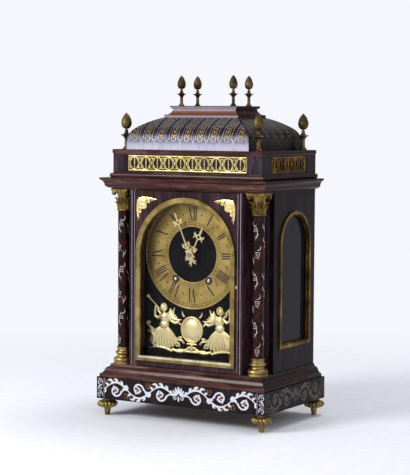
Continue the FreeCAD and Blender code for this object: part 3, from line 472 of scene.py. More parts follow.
def metal(name, bright, dull, roughness, dirt, tarnish=0.5, grain=(1, 1, 1), metallic=1.0):
    # cast or turned brass: bright where it is rubbed, brown in the patches of old lacquer
    bright, dull = rgb(*bright), rgb(*dull)
    made = Finish(name, Metallic=metallic)
    cloud = made.noise(38, 6, 0.65, made.stretched(grain))
    patch = made.level(made.noise(110, 4, 0.6), 0.38, 0.68)
    age = made.level(cloud, 0.62 - tarnish * 0.4, 0.86 - tarnish * 0.3)
    made.feed("Base Color", made.blend(patch * 0.3 * dirt, made.blend(age * dirt, bright, dull), dull))
    fine = made.noise(420, 3, 0.6, made.stretched(grain))
    made.feed("Roughness", made.level(fine, 0.2, 0.8, roughness - 0.06, roughness + 0.1) + age * 0.16)
    made.bump(fine * 0.5 + cloud * 0.5, 0.12, 0.0003)
    return made.material


def darkGlass(name, seen, tint, gleam):
    # a pane that mostly reflects: seen is its opacity
    made = Finish(name, IOR=1.45, Specular_IOR_Level=gleam)
    smear = made.noise(24, 4, 0.6)
    tint = rgb(*tint)
    made.feed("Base Color", made.blend(smear * 0.3, tint, (*(part * 1.4 for part in tint[:3]), 1)))
    made.feed("Roughness", made.level(smear, 0.4, 0.8, 0.03, 0.09))
    made.feed("Alpha", made.level(smear, 0.0, 1.0, seen - 0.02, seen + 0.02))
    return made.material


def velvetCloth(name):
    made = Finish(name, Sheen_Weight=0.04, Sheen_Roughness=0.4, Specular_IOR_Level=0.1)
    pile = made.noise(900, 2)
    shades = [(0.35, (0.004, 0.004, 0.005, 1)), (0.75, (0.012, 0.011, 0.013, 1))]
    made.feed("Base Color", made.ramp(made.noise(22, 4), shades))
    made.feed("Roughness", made.level(pile, 0.2, 0.8, 0.75, 0.98))
    made.bump(pile, 0.25, 0.0003)
    return made.material


def paint(name, colour, roughness):
    # colour is linear light
    made = Finish(name)
    worn = made.noise(150, 4)
    faded = (*(min(1, part * 2.2 + 0.01) for part in colour[:3]), 1)
    made.feed("Base Color", made.blend(worn * 0.3, colour, faded))
    made.feed("Roughness", made.level(worn, 0.3, 0.8, roughness - 0.1, roughness + 0.15))
    made.bump(worn, 0.08, 0.0001)
    return made.material


# view, floor and light

view = {"yaw": 30.56, "pitch": 4.19, "roll": 0.33, "distance": 2.5954, "aim": (-0.01245, 0.0, 0.27916),
        "lens": 125.56, "clipEnd": 100}
studio = {"floorSize": 12.0, "floor": rgb(226, 227, 236), "white": rgb(246, 247, 253), "fadeFrom": 0.30,
          "fadeTo": 1.15, "world": rgb(236, 238, 244), "worldLevel": 0.62,
          "lamps": {"keyLight": ((-0.9, -1.7, 1.3), 0.25, 0.9, 34),
                    "fillLight": ((1.7, -1.4, 0.9), 0.25, 1.2, 6),
                    "topLight": ((0.3, 0.6, 2.0), 0.4, 0.9, 12)}}  # place, height aimed at, size, power


def placeCamera():
    yaw, pitch, roll = (radians(view[key]) for key in ("yaw", "pitch", "roll"))
    back = Vector((sin(yaw) * cos(pitch), -cos(yaw) * cos(pitch), sin(pitch)))
    right = Vector((0, 0, 1)).cross(back).normalized()
    up = back.cross(right)
    tiltedRight = right * cos(roll) + up * sin(roll)
    tiltedUp = up * cos(roll) - right * sin(roll)
    bpy.ops.object.camera_add()
    camera = bpy.context.object
    camera.name = "camera"
    turn = Matrix((tiltedRight, tiltedUp, back)).transposed().to_4x4()
    camera.matrix_world = Matrix.Translation(Vector(view["aim"]) + back * view["distance"]) @ turn
    camera.data.lens = view["lens"]
    camera.data.clip_end = view["clipEnd"]
    bpy.context.scene.camera = camera


def placeLamps():
    for name, (spot, aim, size, power) in studio["lamps"].items():
        bpy.ops.object.light_add(type="AREA", location=spot)
        lamp = bpy.context.object
        lamp.name = name
        lamp.data.shape = "DISK"
        lamp.data.size = size
        lamp.data.energy = power
        lamp.rotation_euler = (Vector((0, 0, aim)) - Vector(spot)).to_track_quat("-Z", "Y").to_euler()


def layFloor():
    # paper that fades into the plain background away from the clock
    bpy.ops.mesh.primitive_plane_add(size=studio["floorSize"])
    floor = bpy.context.object
    floor.name = "floor"
    made = Finish("floorPaper", Roughness=0.9)
    weave = made.noise(60, 3)
    made.feed("Base Color", made.blend(weave, studio["floor"], studio["white"]))
    made.bump(weave, 0.03, 0.0005)
    away = (made.axis("X") ** 2 + made.axis("Y") ** 2) ** 0.5
    far = made.node("ShaderNodeMapRange", {"interpolation_type": "SMOOTHSTEP"},
                    {"Value": away, "From Min": studio["fadeFrom"], "From Max": studio["fadeTo"]}, "Result")
    glow = made.node("ShaderNodeEmission", {}, {"Color": studio["white"], "Strength": 1.0}, "Emission")
    mixed = made.node("ShaderNodeMixShader", {}, [far, Term(made, made.shader.outputs[0]), glow], "Shader")
    made.tree.links.new(mixed.socket, made.tree.nodes["Material Output"].inputs["Surface"])
    floor.data.materials.append(made.material)


def lightWorld():
    # lit by one level, seen by the camera as plain white
    world = bpy.data.worlds.new("studio")
    bpy.context.scene.world = world
    world.use_nodes = True
    tree = world.node_tree
    backdrop = tree.nodes["Background"]
    backdrop.inputs["Color"].default_value = studio["world"]
    backdrop.inputs["Strength"].default_value = studio["worldLevel"]
    plain = tree.nodes.new("ShaderNodeBackground")
    plain.inputs["Color"].default_value = studio["white"]
    seen = tree.nodes.new("ShaderNodeLightPath")
    chooser = tree.nodes.new("ShaderNodeMixShader")
    for index, output in enumerate((seen.outputs["Is Camera Ray"], backdrop.outputs[0], plain.outputs[0])):
        tree.links.new(output, chooser.inputs[index])
    tree.links.new(chooser.outputs[0], tree.nodes["World Output"].inputs["Surface"])
    bpy.context.scene.view_settings.view_transform = "Standard"


placeCamera()
layFloor()
lightWorld()
placeLamps()
print("camera, floor and light set")

# finishes: woods from dark to light, metals from rubbed to dull, all as screen colours

frontCorner = 0.052  # where the mitre lines of the case meet the middle, from the depth axis
domeCorner = 0.0296
# sides=(corner, share): faces behind the front mitre lines are darkened by that share as painted shade
ebony = veneer("ebonyShell", (12, 9, 10), (26, 19, 21), (54, 40, 39), 0.2, 0.3, 0.1, sides=(frontCorner, 0.6))
sideEbony = veneer("ebonySide", (14, 10, 12), (26, 19, 22), (46, 35, 37), 0.34, 0.02, 0.08, (1.6, 9, 1.6))
rosewood = veneer("rosewood", (24, 14, 18), (50, 31, 36), (88, 60, 62), 0.2, 0.5, 0.16)
frontMoulding = veneer("streakyRosewood", (30, 16, 16), (68, 39, 35), (132, 96, 86), 0.17, 0.6, 0.22,
                       (1.2, 9, 14), (frontCorner, 0.85))
# the gallery's purple-grey is partly its wood's tint and partly painted sheen that lightens its front; sides
# get painted shade
galleryWood = veneer("galleryShell", (26, 19, 24), (52, 42, 51), (84, 72, 84), 0.24, 0.2, 0.1,
                     sides=(frontCorner, 0.7))
# painted reflection on the dome's front: pale lavender bands at its foot, fading out upwards
domePaintedSheen = {"low": 0.417, "high": 0.449,
             "colours": [(0.0, (206, 205, 222)), (0.45, (184, 182, 204)), (1.0, (92, 82, 92))],
             "strength": [(0.0, 0.92), (0.26, 0.8), (0.46, 0.3), (0.85, 0)]}
domeWood = veneer("domeShell", (16, 11, 12), (34, 25, 26), (62, 48, 46), 0.24, 0.3, 0.1,
                  sides=(domeCorner, 0.5), paintedSheen=domePaintedSheen)
# painted reflection on the platform's front: pale, whitish and copper-brown bands across its height, none on
# its top face
platformPaintedSheen = {"low": 0.4665, "high": 0.4845,
                 "colours": [(0.0, (176, 166, 180)), (0.15, (176, 160, 170)), (0.22, (112, 70, 56)),
                             (0.52, (156, 98, 72)), (0.66, (204, 198, 214)), (0.80, (190, 186, 204)),
                             (0.9, (120, 112, 126))],
                 "strength": [(0.0, 0.8), (0.3, 0.65), (0.95, 0.8), (0.985, 0)]}
platformWood = veneer("platformShell", (34, 18, 17), (70, 36, 30), (120, 76, 62), 0.2, 0.5, 0.2, (1.2, 9, 14),
                      (domeCorner, 0.8), platformPaintedSheen)
oak = veneer("waxedOak", (58, 38, 24), (96, 66, 42), (128, 94, 62), 0.42, 0.1, 0.2)
columnShell = veneer("columnShell", (10, 7, 8), (34, 14, 12), (104, 30, 22), 0.18, 0.5, 0.12, (14, 14, 9))

gilt = metal("brightGilt", (242, 208, 132), (150, 108, 46), 0.24, 0.45)
paleGilt = metal("paleGilt", (250, 226, 156), (190, 150, 74), 0.2, 0.35)
oliveBrass = metal("oliveBrass", (184, 160, 96), (72, 58, 28), 0.36, 0.85, 0.8)
oldBronze = metal("oldBronze", (150, 128, 80), (42, 34, 22), 0.38, 0.9, 0.95)
wornGold = metal("wornGold", (172, 132, 60), (60, 44, 22), 0.36, 0.9, 0.9)
movementBrass = metal("movementBrass", (214, 178, 104), (140, 104, 50), 0.3, 0.35, grain=(1, 1, 14))
steel = metal("polishedSteel", (176, 178, 184), (84, 80, 78), 0.24, 0.3)
bellMetal = metal("bellMetal", (196, 168, 118), (120, 92, 56), 0.26, 0.4, grain=(1, 1, 9))
pewter = metal("pewterInlay", (232, 232, 238), (150, 146, 150), 0.42, 0.3)
copper = metal("copperInlay", (176, 124, 84), (90, 56, 38), 0.4, 0.5)
# painted shade: a dull, darker inlay in place of pewter, copper, silver and gold on the sides and back
shadedInlay = metal("shadedInlay", (98, 84, 78), (52, 42, 40), 0.6, 0.6, metallic=0.4)
agedBrass = metal("agedBrass", (196, 172, 106), (84, 66, 34), 0.3, 0.8, 0.8)
agedGilt = metal("agedGilt", (206, 170, 92), (60, 50, 26), 0.34, 0.9, 0.9)
doorGold = metal("doorGold", (214, 190, 128), (112, 88, 44), 0.34, 0.7)
dialGold = metal("dialGold", (206, 182, 110), (118, 94, 44), 0.36, 0.5)
mountGold = metal("mountGold", (255, 244, 188), (216, 172, 88), 0.38, 0.4)
handGold = metal("handGold", (255, 238, 176), (206, 164, 84), 0.26, 0.4)
brightSill = metal("brightSill", (196, 190, 168), (128, 112, 78), 0.6, 0.8, metallic=0.6)
brightSteel = metal("brightSteel", (240, 240, 245), (190, 190, 196), 0.3, 0.2)
frontFret = metal("frontFret", (218, 200, 132), (96, 80, 42), 0.34, 0.7)
dialBrass = metal("dialBrass", (204, 176, 104), (106, 82, 38), 0.42, 0.7)
stringing = metal("stringing", (176, 168, 176), (96, 86, 92), 0.4, 0.5)
domeGold = metal("domeGold", (160, 130, 66), (90, 68, 30), 0.5, 0.6, metallic=0.7)
domeSilver = metal("domeSilver", (186, 184, 196), (110, 104, 114), 0.5, 0.5, metallic=0.7)

glass = darkGlass("doorGlass", 0.10, (20, 20, 24), 0.3)
# painted shade: a nearly opaque dark pane in place of the dim inside seen through the side windows
shadedSideGlass = darkGlass("shadedSideGlass", 0.82, (24, 22, 25), 0.1)
velvet = velvetCloth("blackVelvet")
blackWax = paint("blackWax", (0.006, 0.006, 0.007, 1), 0.45)
whiteInlay = paint("whiteInlay", rgb(176, 172, 168), 0.35)
fretGround = paint("fretGround", (0.004, 0.004, 0.005, 1), 0.9)

finishes = {"ebony_shell": ebony, "rosewood": rosewood, "rosewood_moulding": frontMoulding, "oak": oak,
            "column_shell": columnShell, "gilt_brass": gilt, "old_bronze": oldBronze, "velvet": velvet,
            "window_glass": glass, "movement_brass": movementBrass, "steel": steel, "bell_metal": bellMetal}
ownFinish = {"side_panels": sideEbony, "side_window_frames": wornGold, "side_glasses": shadedSideGlass,
             "door_moulding": oliveBrass, "chapter_ring": dialBrass, "column_bases": agedBrass,
             "dome": domeWood, "platform": platformWood, "gallery_walls": galleryWood, "hand_collet": steel}
for subpart in frame["record"]["subparts"]:
    part = nodes[subpart["node"]]
    part.data.materials.clear()
    part.data.materials.append(ownFinish.get(subpart["node"], finishes[subpart["material_slot"]]))
print("finishes given to the frame")

# feet, as (radius, share of the height, bulge)

footShape = {"radius": 16.5, "sides": 56, "lobes": 14, "lobeDepth": 0.15, "lobesBetween": (0.46, 0.87),
             "outline": [(3.4, 0), (4, 0.13, 0.3), (5.115, 0.42, 0.1), (9.075, 0.45), (10.89, 0.48),
                         (16.0875, 0.63, 0.35), (16.0875, 0.71, 0.3), (10.23, 0.85, 0.3), (8.25, 0.86),
                         (8.25, 0.9, 0.4), (6.93, 0.92), (6.93, 1)]}


def buildFeet():
    high = span("feet")[1]
    radius = footShape["radius"]
    bottom, top = (share * high.z for share in footShape["lobesBetween"])

    def lobe(x, y, z):
        # grooves between upright lobes, deepest halfway up
        share = (z - bottom) / (top - bottom)
        if not 0 < share < 1:
            return x, y, z
        groove = 1 - abs(sin(footShape["lobes"] * atan2(y, x) / 2))
        squeeze = 1 - footShape["lobeDepth"] * groove ** 2 * sin(pi * share) ** 0.5
        return x * squeeze, y * squeeze, z

    foot = reshape(turned(profile(footShape["outline"], high.z, steps=5), footShape["sides"]), lobe)
    places = [move(x * (high.x - radius), y * (high.y - radius)) for x in (-1, 1) for y in (-1, 1)]
    finish(join(copies(foot, places)), "lobedFeet", oliveBrass, "old_bronze", "case", "feet", angle=50)


# plinth inlay; the leaves on a crest are (share of the pitch, lean, length, boldness)

plinthShape = {"scrolls": 3, "sideScrolls": 2, "longFrom": 120, "filled": 121.5 / 124, "start": 10.5,
               "crest": 10.8, "scrollRadius": 10.8, "line": 1.16, "leaf": 10.8, "highest": 15,
               "cornerStrip": 13.5, "stripReach": 14.5, "edgeReach": 16.2, "edgeLine": 0.22, "palmette": 13.5, "relief": 0.05,
               "crestLeaves": [(0.08, 84, 0.66, 1.2), (0.24, 66, 0.98, 1.5), (0.44, 44, 1.15, 1.75),
                               (0.66, 26, 1.2, 1.7), (0.88, 46, 0.85, 1.3)],
               "calyx": [(-70, 0.78), (-34, 1.0), (-4, 0.9)]}


def rinceau(start, pitch, count):
    # a bold waving stem, a scroll rolled into each hollow, leaves on its crests and a calyx at each crossing
    crest, line, leaf, highest = (plinthShape[key] for key in ("crest", "line", "leaf", "highest"))
    radius = plinthShape["scrollRadius"]
    shares = [step / 16 for step in range(count * 16 + 1)]
    lines = [[(start + pitch * share, crest * sin(pi * share),
               line * (0.75 + 0.95 * abs(sin(pi * (share + 0.1))) ** 1.4)) for share in shares]]
    for index in range(count):
        up = alternate(index)
        foot = start + pitch * index
        curl = spiral((foot + pitch * 0.53, -up * 2.2), radius, radius * 0.27, 180, 1.28 * up, line * 1.45,
                      0.7, line * 1.7)
        lines += [curl, bent((foot - 1.2, -up * 0.4), curl[1][:2], 0.22 * up, line * 0.9, 1.4)]
        lines += leafRow(curl, leaf * 0.6, line * 1.5, 4, 56 * up, 5)[:3]
        lines += leafRow(curl, leaf * 0.52, line * 1.3, 5, -58 * up, 11)[:2]
        for share, lean, length, bold in plinthShape["crestLeaves"]:
            base = (foot + pitch * share, up * crest * sin(pi * share))
            turn = radians(lean) * up
            rise = base[1] + leaf * length * sin(turn) * 0.6
            tip = (base[0] + leaf * length * cos(turn) * 0.8, min(highest, max(-highest, rise)))
            lines.append(bent(base, tip, 0.26 * up, line * bold, 0.2, line * 0.95))
        for lean, length in plinthShape["calyx"]:
            turn = radians(lean) * up
            tip = (foot + pitch + leaf * length * cos(turn), -up * abs(leaf * length * sin(turn)))
            lines.append(bent((foot + pitch, 0), tip, -0.2 * up, line * 1.1, 0.25, line * 0.9))
    return lines


def palmette(height, line):
    # a fan of separate leaves over two curls and a drop
    lines = []
    for offset in range(-3, 4):
        turn = radians(90 - offset * 25)
        tip = Vector((cos(turn), sin(turn))) * height * (1 - 0.05 * abs(offset))
        lines.append(bent(tip * 0.2, tip, -0.05 * offset, line * 0.5, 1.6, line * 1.05))
    for sign in (-1, 1):
        lines.append(spiral((sign * height * 0.42, -height * 0.3), height * 0.3, height * 0.07, 90,
                            -1.2 * sign, line * 0.8, 0.4, line))
    lines.append(bent((0, -height * 0.1), (0, -height * 0.72), 0, line * 0.6, 0.6, line * 0.8))
    return lines


def stripScroll(x, reach, width, line):
    # an upright wavy stem with curls, for the corner strips
    lines = []
    for index in range(3):
        z = 2 * reach * (index + 0.5) / 3 - reach
        side = alternate(index)
        lines.append(spiral((x + side * width * 0.1, z), width * 0.32, width * 0.07, -100 * side, 1.2 * side,
                            line, 0.4, line * 1.3))
        foot, tip = (x - side * width * 0.3, z - reach * 0.2), (x + side * width * 0.38, z + reach * 0.32)
        lines.append(bent(foot, tip, 0.3 * side, line, 0.3, line * 0.4))
    return lines


def plinthPattern(half):
    line, start, strip = (plinthShape[key] for key in ("line", "start", "cornerStrip"))
    edgeReach, edgeLine = plinthShape["edgeReach"], plinthShape["edgeLine"]
    inner = half - strip
    count = plinthShape["sideScrolls" if half < plinthShape["longFrom"] else "scrolls"]
    pitch = (inner - start) * plinthShape["filled"] / count
    scrolls = [[point for point in path if point[0] < inner - 1.2] for path in rinceau(start, pitch, count)]
    pale = bothWays([path for path in scrolls if len(path) > 1]) + palmette(plinthShape["palmette"], line)
    pale += bothWays(stripScroll(half - strip / 2, plinthShape["stripReach"], strip, line * 0.55))
    pale += bothWays([[(inner, -edgeReach, edgeLine), (inner, edgeReach, edgeLine)]])
    warm = []
    for index in range(count):
        up = alternate(index)
        centre = start + pitch * (index + 0.53)
        ahead = centre + pitch * 0.47
        warm += rosette((centre, -up * 2), 3)
        for side in (-1, 1):
            warm.append(spiral((ahead + side * 5.6, up * 11.2), 3, 1, 90 * up, side * up, line * 0.32,
                               0.5, line * 0.5))
            warm.append(bent((ahead + side * 1.2, up * 6.6), (ahead + side * 6.2, up * 8.2),
                             -0.25 * side * up, line * 0.5, 0.3, line * 0.25))
        warm.append(bent((ahead, up * 6.6), (ahead, up * 14.5), 0, line * 0.5, 0.4, line * 0.35))
    warm = [path for path in warm if max(abs(point[0]) for point in path) < inner - 1]
    return pale, bothWays(warm)


def buildPlinthInlay():
    low, high, middle = span("plinth")
    for name, half, away, turn in (("front", high.x, high.y, 0), ("right", high.y, high.x, 90),
                                   ("left", high.y, high.x, -90), ("back", high.x, high.y, 180)):
        # painted shade: the sides and back take the dull, darker inlay
        materials = (shadedInlay, shadedInlay) if turn else (pewter, copper)
        for kind, lines, material in zip(("pale", "warm"), plinthPattern(half), materials):
            inlay = strokes(lines, plinthShape["relief"], 1, spin(turn) @ move(0, -away, middle.z))
            finish(inlay, f"plinthInlay_{kind}_{name}", material, "ebony_shell", "case", angle=80)


# columns, with a base and a capital each

columnShape = {"radius": 9, "sides": 48, "sprigPitch": 36.5, "line": 0.46, "relief": 0.1}
baseOutline = [(11.4, 0.39), (10.6, 0.42), (10.4, 0.54, -0.35), (11.6, 0.57), (11.6, 0.73, 0.6), (10.2, 0.76),
               (9.6, 0.80), (9.8, 0.9), (11, 0.92), (10.6, 0.97, 0.4), (9.1, 1)]
capitalShape = {"bell": [(9.1, 0), (10.4, 0.02), (10.4, 0.07, 0.6), (9.2, 0.09), (9.4, 0.5),
                         (11.8, 0.84, -0.2), (12.6, 0.88)],
                # share of the height, width, lean, curl and the turn of the first
                "leaves": [(0.40, 6.8, 3.0, 1.8, 0), (0.66, 6.4, 3.6, 2.0, 22.5)],
                "leafFoot": (-9.8, 0.085), "slab": (0.118, 0.941), "narrow": 0.93, "hollow": 0.16}


def columnPattern(length, girth):
    lines = []
    width, pitch = columnShape["line"], columnShape["sprigPitch"]
    for around in (-1, 0, 1):
        for index in range(int(length / pitch) + 1):
            side = alternate(index + around)
            x = around * girth / 3 + side * 2
            z = -length / 2 + pitch * (index + 0.3 + around / 3)
            curl = spiral((x, z), 5.4, 1, -120 * side, 1.3 * side, width, 0.4, width * 1.5)
            foot = curl[0][0]
            lines += [curl] + leafRow(curl, 4.4, width * 0.9, 5, -55 * side)
            lines += [bent((foot - side * 3.5, z - 15.5), curl[0][:2], 0.25 * side, width * 0.8, 0.7),
                      bent((foot - side * 3, z - 12), (foot - side * 6.2, z - 3), 0.3 * side, width, 0.2,
                           width * 0.6),
                      bent((x, z + 5.2), (x + side * 4.8, z + 13), -0.3 * side, width * 1.1, 0.2,
                           width * 0.6)]
    return [line for line in lines if all(abs(up) < length / 2 - 1 for across, up, half in line)]


def buildColumns():
    low, high, middle = span("column_shafts")
    radius = columnShape["radius"]
    length = high.z - low.z
    lines = columnPattern(length, 2 * pi * radius)
    shafts = []
    for name, sign in (("left", -1), ("right", 1)):
        x = sign * (high.x - radius)

        def wrap(across, proud, up):
            # round the shaft, with its middle towards the front and its ground just below the surface
            ground = radius - 0.01
            angle = across / ground
            return x + (ground - proud) * sin(angle), middle.y - (ground - proud) * cos(angle), middle.z + up

        shafts.append(turned([(radius, 0), (radius, length)], columnShape["sides"], (x, middle.y, low.z)))
        inlay = outward(reshape(strokes(shifted(lines, flip=sign < 0), columnShape["relief"], 0), wrap))
        finish(inlay, "columnInlay_" + name, whiteInlay, "column_shell", "case", angle=80)
    finish(join(shafts), "roundColumnShafts", columnShell, "column_shell", "case", "column_shafts", angle=40)


def buildColumnBases():
    low, high, middle = span("column_bases")
    radius = (high.y - low.y) / 2
    foot = [(radius, 0), (radius, 0.10), (radius - 0.8, 0.13), (radius - 1.2, 0.36, 0.5)]
    outline = profile(foot + baseOutline, high.z - low.z, steps=5)
    bases = [turned(outline, 64, (sign * (high.x - radius), middle.y, low.z)) for sign in (-1, 1)]
    finish(join(bases), "turnedColumnBases", agedBrass, "gilt_brass", "case", "column_bases", angle=40)


def acanthus(height, width, lean, curl):
    # one leaf standing against the bell of a capital, its tip rolled outwards
    deselect()
    bpy.ops.mesh.primitive_grid_add(x_subdivisions=8, y_subdivisions=12, size=mm)

    def grow(across, up, flat):
        across, up = across * 2, max(0, up + 0.5)
        lobes = 0.82 + 0.18 * abs(cos(up * pi * 3.2))
        wide = width * (0.62 + 0.5 * sin(pi * min(1, up * 1.15)) - 0.55 * up ** 4) * lobes
        roll = max(0, up - 0.62) / 0.38
        out = lean * up ** 1.6 + curl * sin(roll * pi * 0.75) - 0.16 * width * across ** 2
        ridge = 0.06 * width * cos(across * pi * 2.5)
        return across * wide / 2, -(out + ridge), height * (up - 0.20 * roll ** 2)

    return modified(reshape(bpy.context.object, grow), "SOLIDIFY", thickness=0.9 * mm)


def capitalSlab(half, tall):
    # the square top: hollowed sides, a narrower lower edge and softened corners
    thick, middle = (share * tall for share in capitalShape["slab"])
    slab = block((2 * half, 2 * half, thick), (0, 0, middle))
    editAll()
    bpy.ops.mesh.subdivide(number_cuts=7)
    bpy.ops.object.mode_set(mode="OBJECT")

    def hollow(x, y, z):
        narrow = capitalShape["narrow"] if z < 0.93 * tall else 1
        inwards = [narrow * (1 - capitalShape["hollow"] * (1 - (part / half) ** 2)) for part in (y, x)]
        return x * inwards[0], y * inwards[1], z

    return modified(reshape(slab, hollow), "BEVEL", width=0.5 * mm, segments=2)


def capital(half, tall):
    parts = [turned(profile(capitalShape["bell"], tall)), capitalSlab(half, tall)]
    depth, share = capitalShape["leafFoot"]
    foot = move(0, depth, share * tall)
    for share, width, lean, curl, first in capitalShape["leaves"]:
        leaf = acanthus(share * tall, width, lean, curl)
        parts += copies(leaf, [spin(45 * index + first) @ foot for index in range(8)])
    for quarter in (0, 90, 180, 270):
        for side in (-1, 1):
            place = spin(quarter + 45) @ move(side * 1.2, -15.2, 0.80 * tall) @ spin(90 + 24 * side)
            parts.append(strokes([spiral((0, 0), 3.8, 0.8, 100, -1.6 * side, 0.9, 0.6, 1.2)], 1.3, 1, place))
        place = spin(quarter) @ move(0, -half * 0.84, 0.90 * tall)
        parts.append(strokes(rosette((0, 0), 2.6), 0.7, 1, place))
    return join(parts)


def buildCapitals():
    low, high, middle = span("capitals")
    half = (high.y - low.y) / 2
    places = [move(sign * (high.x - half), middle.y, low.z) for sign in (-1, 1)]
    pair = join(copies(capital(half, high.z - low.z), places))
    finish(pair, "leafCapitals", agedGilt, "gilt_brass", "case", "capitals", angle=40)


buildFeet()
buildPlinthInlay()
buildColumns()
buildColumnBases()
buildCapitals()
print("feet, plinth inlay and columns made")

# door trim; a bead is (inset, half width, place behind the front face, roundness)

trimShape = {"beads": [(3.6, 1.3, 1.4, 2), (6.6, 1.1, 2.1, 1)], "pearl": 1.4, "pearlInset": 1.5,
             "pearlPitch": 3.7, "sillInset": 5, "sillUp": 4.6, "sillHalf": 2.8, "sillBack": 1.2,
             "foliage": 1.3, "foliageReach": 37, "shell": 10.5}


def buildDoorMoulding():
    low, high, middle = span("door_moulding")
    half, pearl = high.x, trimShape["pearl"]
    trim = [strokes([archLine(half, low.z, high.z, inset, width)], 0.9, detail, move(0, low.y + back))
            for inset, width, back, detail in trimShape["beads"]]
    row = alongLine(archLine(half, low.z, high.z, trimShape["pearlInset"], 0), trimShape["pearlPitch"])
    trim += copies(ball((pearl, pearl, pearl), Matrix(), 8, 5),
                   [move(spot.x, low.y + pearl, spot.y) for spot in row])
    finish(join(trim), "beadedDoorTrim", doorGold, "gilt_brass", "front_door", angle=60)
    edge = half - trimShape["sillInset"]
    line = [(side * edge, low.z + trimShape["sillUp"], trimShape["sillHalf"]) for side in (-1, 1)]
    sill = strokes([line], 0.42, 2, move(0, low.y + trimShape["sillBack"]))
    finish(sill, "doorSill", brightSill, "gilt_brass", "front_door", angle=60)


def cornerFoliage():
    # for the upper right corner, measured from it: scrolls, a shell and long leaf sprays along both edges
    line, reach = trimShape["foliage"], trimShape["shell"]
    stem = bent((-5, -3.5), (-trimShape["foliageReach"], -4.2), -0.06, line * 1.3, 0.25)
    half = [stem] + leafRow(stem, 9.2, line, 1, 46, 0) + leafRow(stem, 3.2, line * 0.8, 1, -50)
    half += [spiral((-14.5, -9.8), 5.6, 1.4, 60, 1.3, line * 1.2, 0.5, line * 1.5),
             spiral((-22.5, -7.2), 3.4, 1, 40, 1.2, line, 0.5, line * 1.2),
             bent((-12, -14), (-19, -16.5), 0.2, line, 0.2, line * 0.6),
             bent((-5.5, -7.5), (-15.5, -19.5), 0.1, line * 1.2, 0.2, line)]
    swapped = [[(v, u, width) for u, v, width in path] for path in half]
    shell = [bent((-4, -4), (-4 - reach * cos(turn), -4 - reach * sin(turn)), 0, 0.6, 1, 1.1)
             for turn in [radians(8 + 18.5 * step) for step in range(5)]]
    return half + swapped + shell


def buildSpandrels():
    high = span("spandrels")[1]
    lines = bothWays(shifted(cornerFoliage(), high.x, high.z))
    foliage = strokes(lines, 0.62, 1, move(0, high.y - 0.6))
    finish(foliage, "cornerFoliage", paleGilt, "gilt_brass", "front_door", "spandrels", angle=60)


def buildDoorEdges():
    # light stringing on the stiles of the door and beside it on the corner posts
    stile = span("door_frame")[1].x
    for node, name, edge, line, slot, body in (
            ("door_frame", "doorStringing", stile - 1.4, 0.28, "rosewood", "front_door"),
            ("corner_posts", "postStringing", stile + 3.2, 0.448, "ebony_shell", "case")):
        low, high, middle = span(node)
        lines = bothWays([[(edge, low.z + 1, line), (edge, high.z - 1, line)]])
        finish(strokes(lines, 0.3, 0, move(0, low.y)), name, stringing, slot, body, angle=60)


# dial; a letter is its width, bars (foot, head, half width) and serifs (place, end, half length)

dialShape = {"inner": 42.7, "numeralLow": 52.5, "numeralHigh": 73.5, "serif": 0.36, "collar": 4.9,
             "keySquare": (4.4, 2, 4.4),
             "names": ["XII", "I", "II", "III", "IIII", "V", "VI", "VII", "VIII", "IX", "X", "XI"],
             "letters": {"I": (3.6, [(0, 0, 1.05)], [(0, -1, 1.7), (0, 1, 1.7)]),
                         "V": (9.2, [(0, -3.1, 1.05), (0, 3.1, 0.36)], [(-3.1, 1, 1.4), (3.1, 1, 1.4)]),
                         "X": (9.2, [(3.1, -3.1, 1.05), (-3.1, 3.1, 0.36)],
                               [(-3.1, -1, 1.4), (-3.1, 1, 1.4), (3.1, -1, 1.4), (3.1, 1, 1.4)])}}


def letterLines(name, top):
    # a Roman numeral about its own middle
    letters, thin = dialShape["letters"], dialShape["serif"]
    left = -sum(letters[letter][0] for letter in name) / 2
    lines = []
    for letter in name:
        width, bars, serifs = letters[letter]
        middle = left + width / 2
        lines += [[(middle + foot, -top, half), (middle + head, top, half)] for foot, head, half in bars]
        lines += [[(middle + place - reach, end * top, thin), (middle + place + reach, end * top, thin)]
                  for place, end, reach in serifs]
        left += width
    return lines


def dialLines(inner, outer):
    low, high = dialShape["numeralLow"], dialShape["numeralHigh"]
    middle = (low + high) / 2
    lines = []
    for hour, name in enumerate(dialShape["names"]):
        lines += clockwise(shifted(letterLines(name, (high - low) / 2), 0, middle), radians(30 * hour))
        mark = radians(30 * hour + 15)
        lines += rosette((middle * sin(mark), middle * cos(mark)), 1.9, 4)
    for count, start, end, half in ((60, outer - 7.8, outer - 4.2, 0.4), (48, inner + 3.5, inner + 7.2, 0.3)):
        for step in range(count):
            lines += clockwise([[(0, start, half), (0, end, half)]], 2 * pi * step / count)
        lines += [circleLine(start, 0.3), circleLine(end, 0.3)]
    return lines


def buildDial():
    low, high, middle = span("chapter_ring")
    inner, outer = dialShape["inner"], high.x
    marks = strokes(dialLines(inner, outer), 0.05, 0, move(0, low.y - 0.02, middle.z))
    finish(marks, "dialMarks", blackWax, "gilt_brass", "case", angle=80)
    rims = [circleLine(inner + 0.7, 0.7), circleLine(outer - 0.8, 0.8)]
    rims = strokes(rims, 0.5, 1, move(0, low.y, middle.z))
    finish(rims, "dialRims", dialGold, "gilt_brass", "case", angle=80)
    hole = span("going_arbor")[2]
    collars = [strokes([circleLine(dialShape["collar"], 1.1, 32)], 0.6, 1, move(sign * hole.x, low.y, hole.z))
               for sign in (-1, 1)]
    finish(join(collars), "windingCollars", blackWax, "gilt_brass", "case", angle=60)
    for name, sign in (("going", 1), ("strike", -1)):
        square = block(dialShape["keySquare"], (sign * hole.x, low.y - 0.6, hole.z))
        modified(square, "BEVEL", width=0.5 * mm, segments=2)
        finish(square, name + "KeySquare", brightSteel, "steel", name + "_arbor", angle=30)


# hands, both with the same stem and hub

handShape = {"hour_hand": {"body": "hour_pipe", "angle": 26, "lengths": (46, 30.5, 8.8, 12.5)},
             "minute_hand": {"body": "minute_hand", "angle": -23.5, "lengths": (71.5, 53.5, 7.2, 17.2)}}


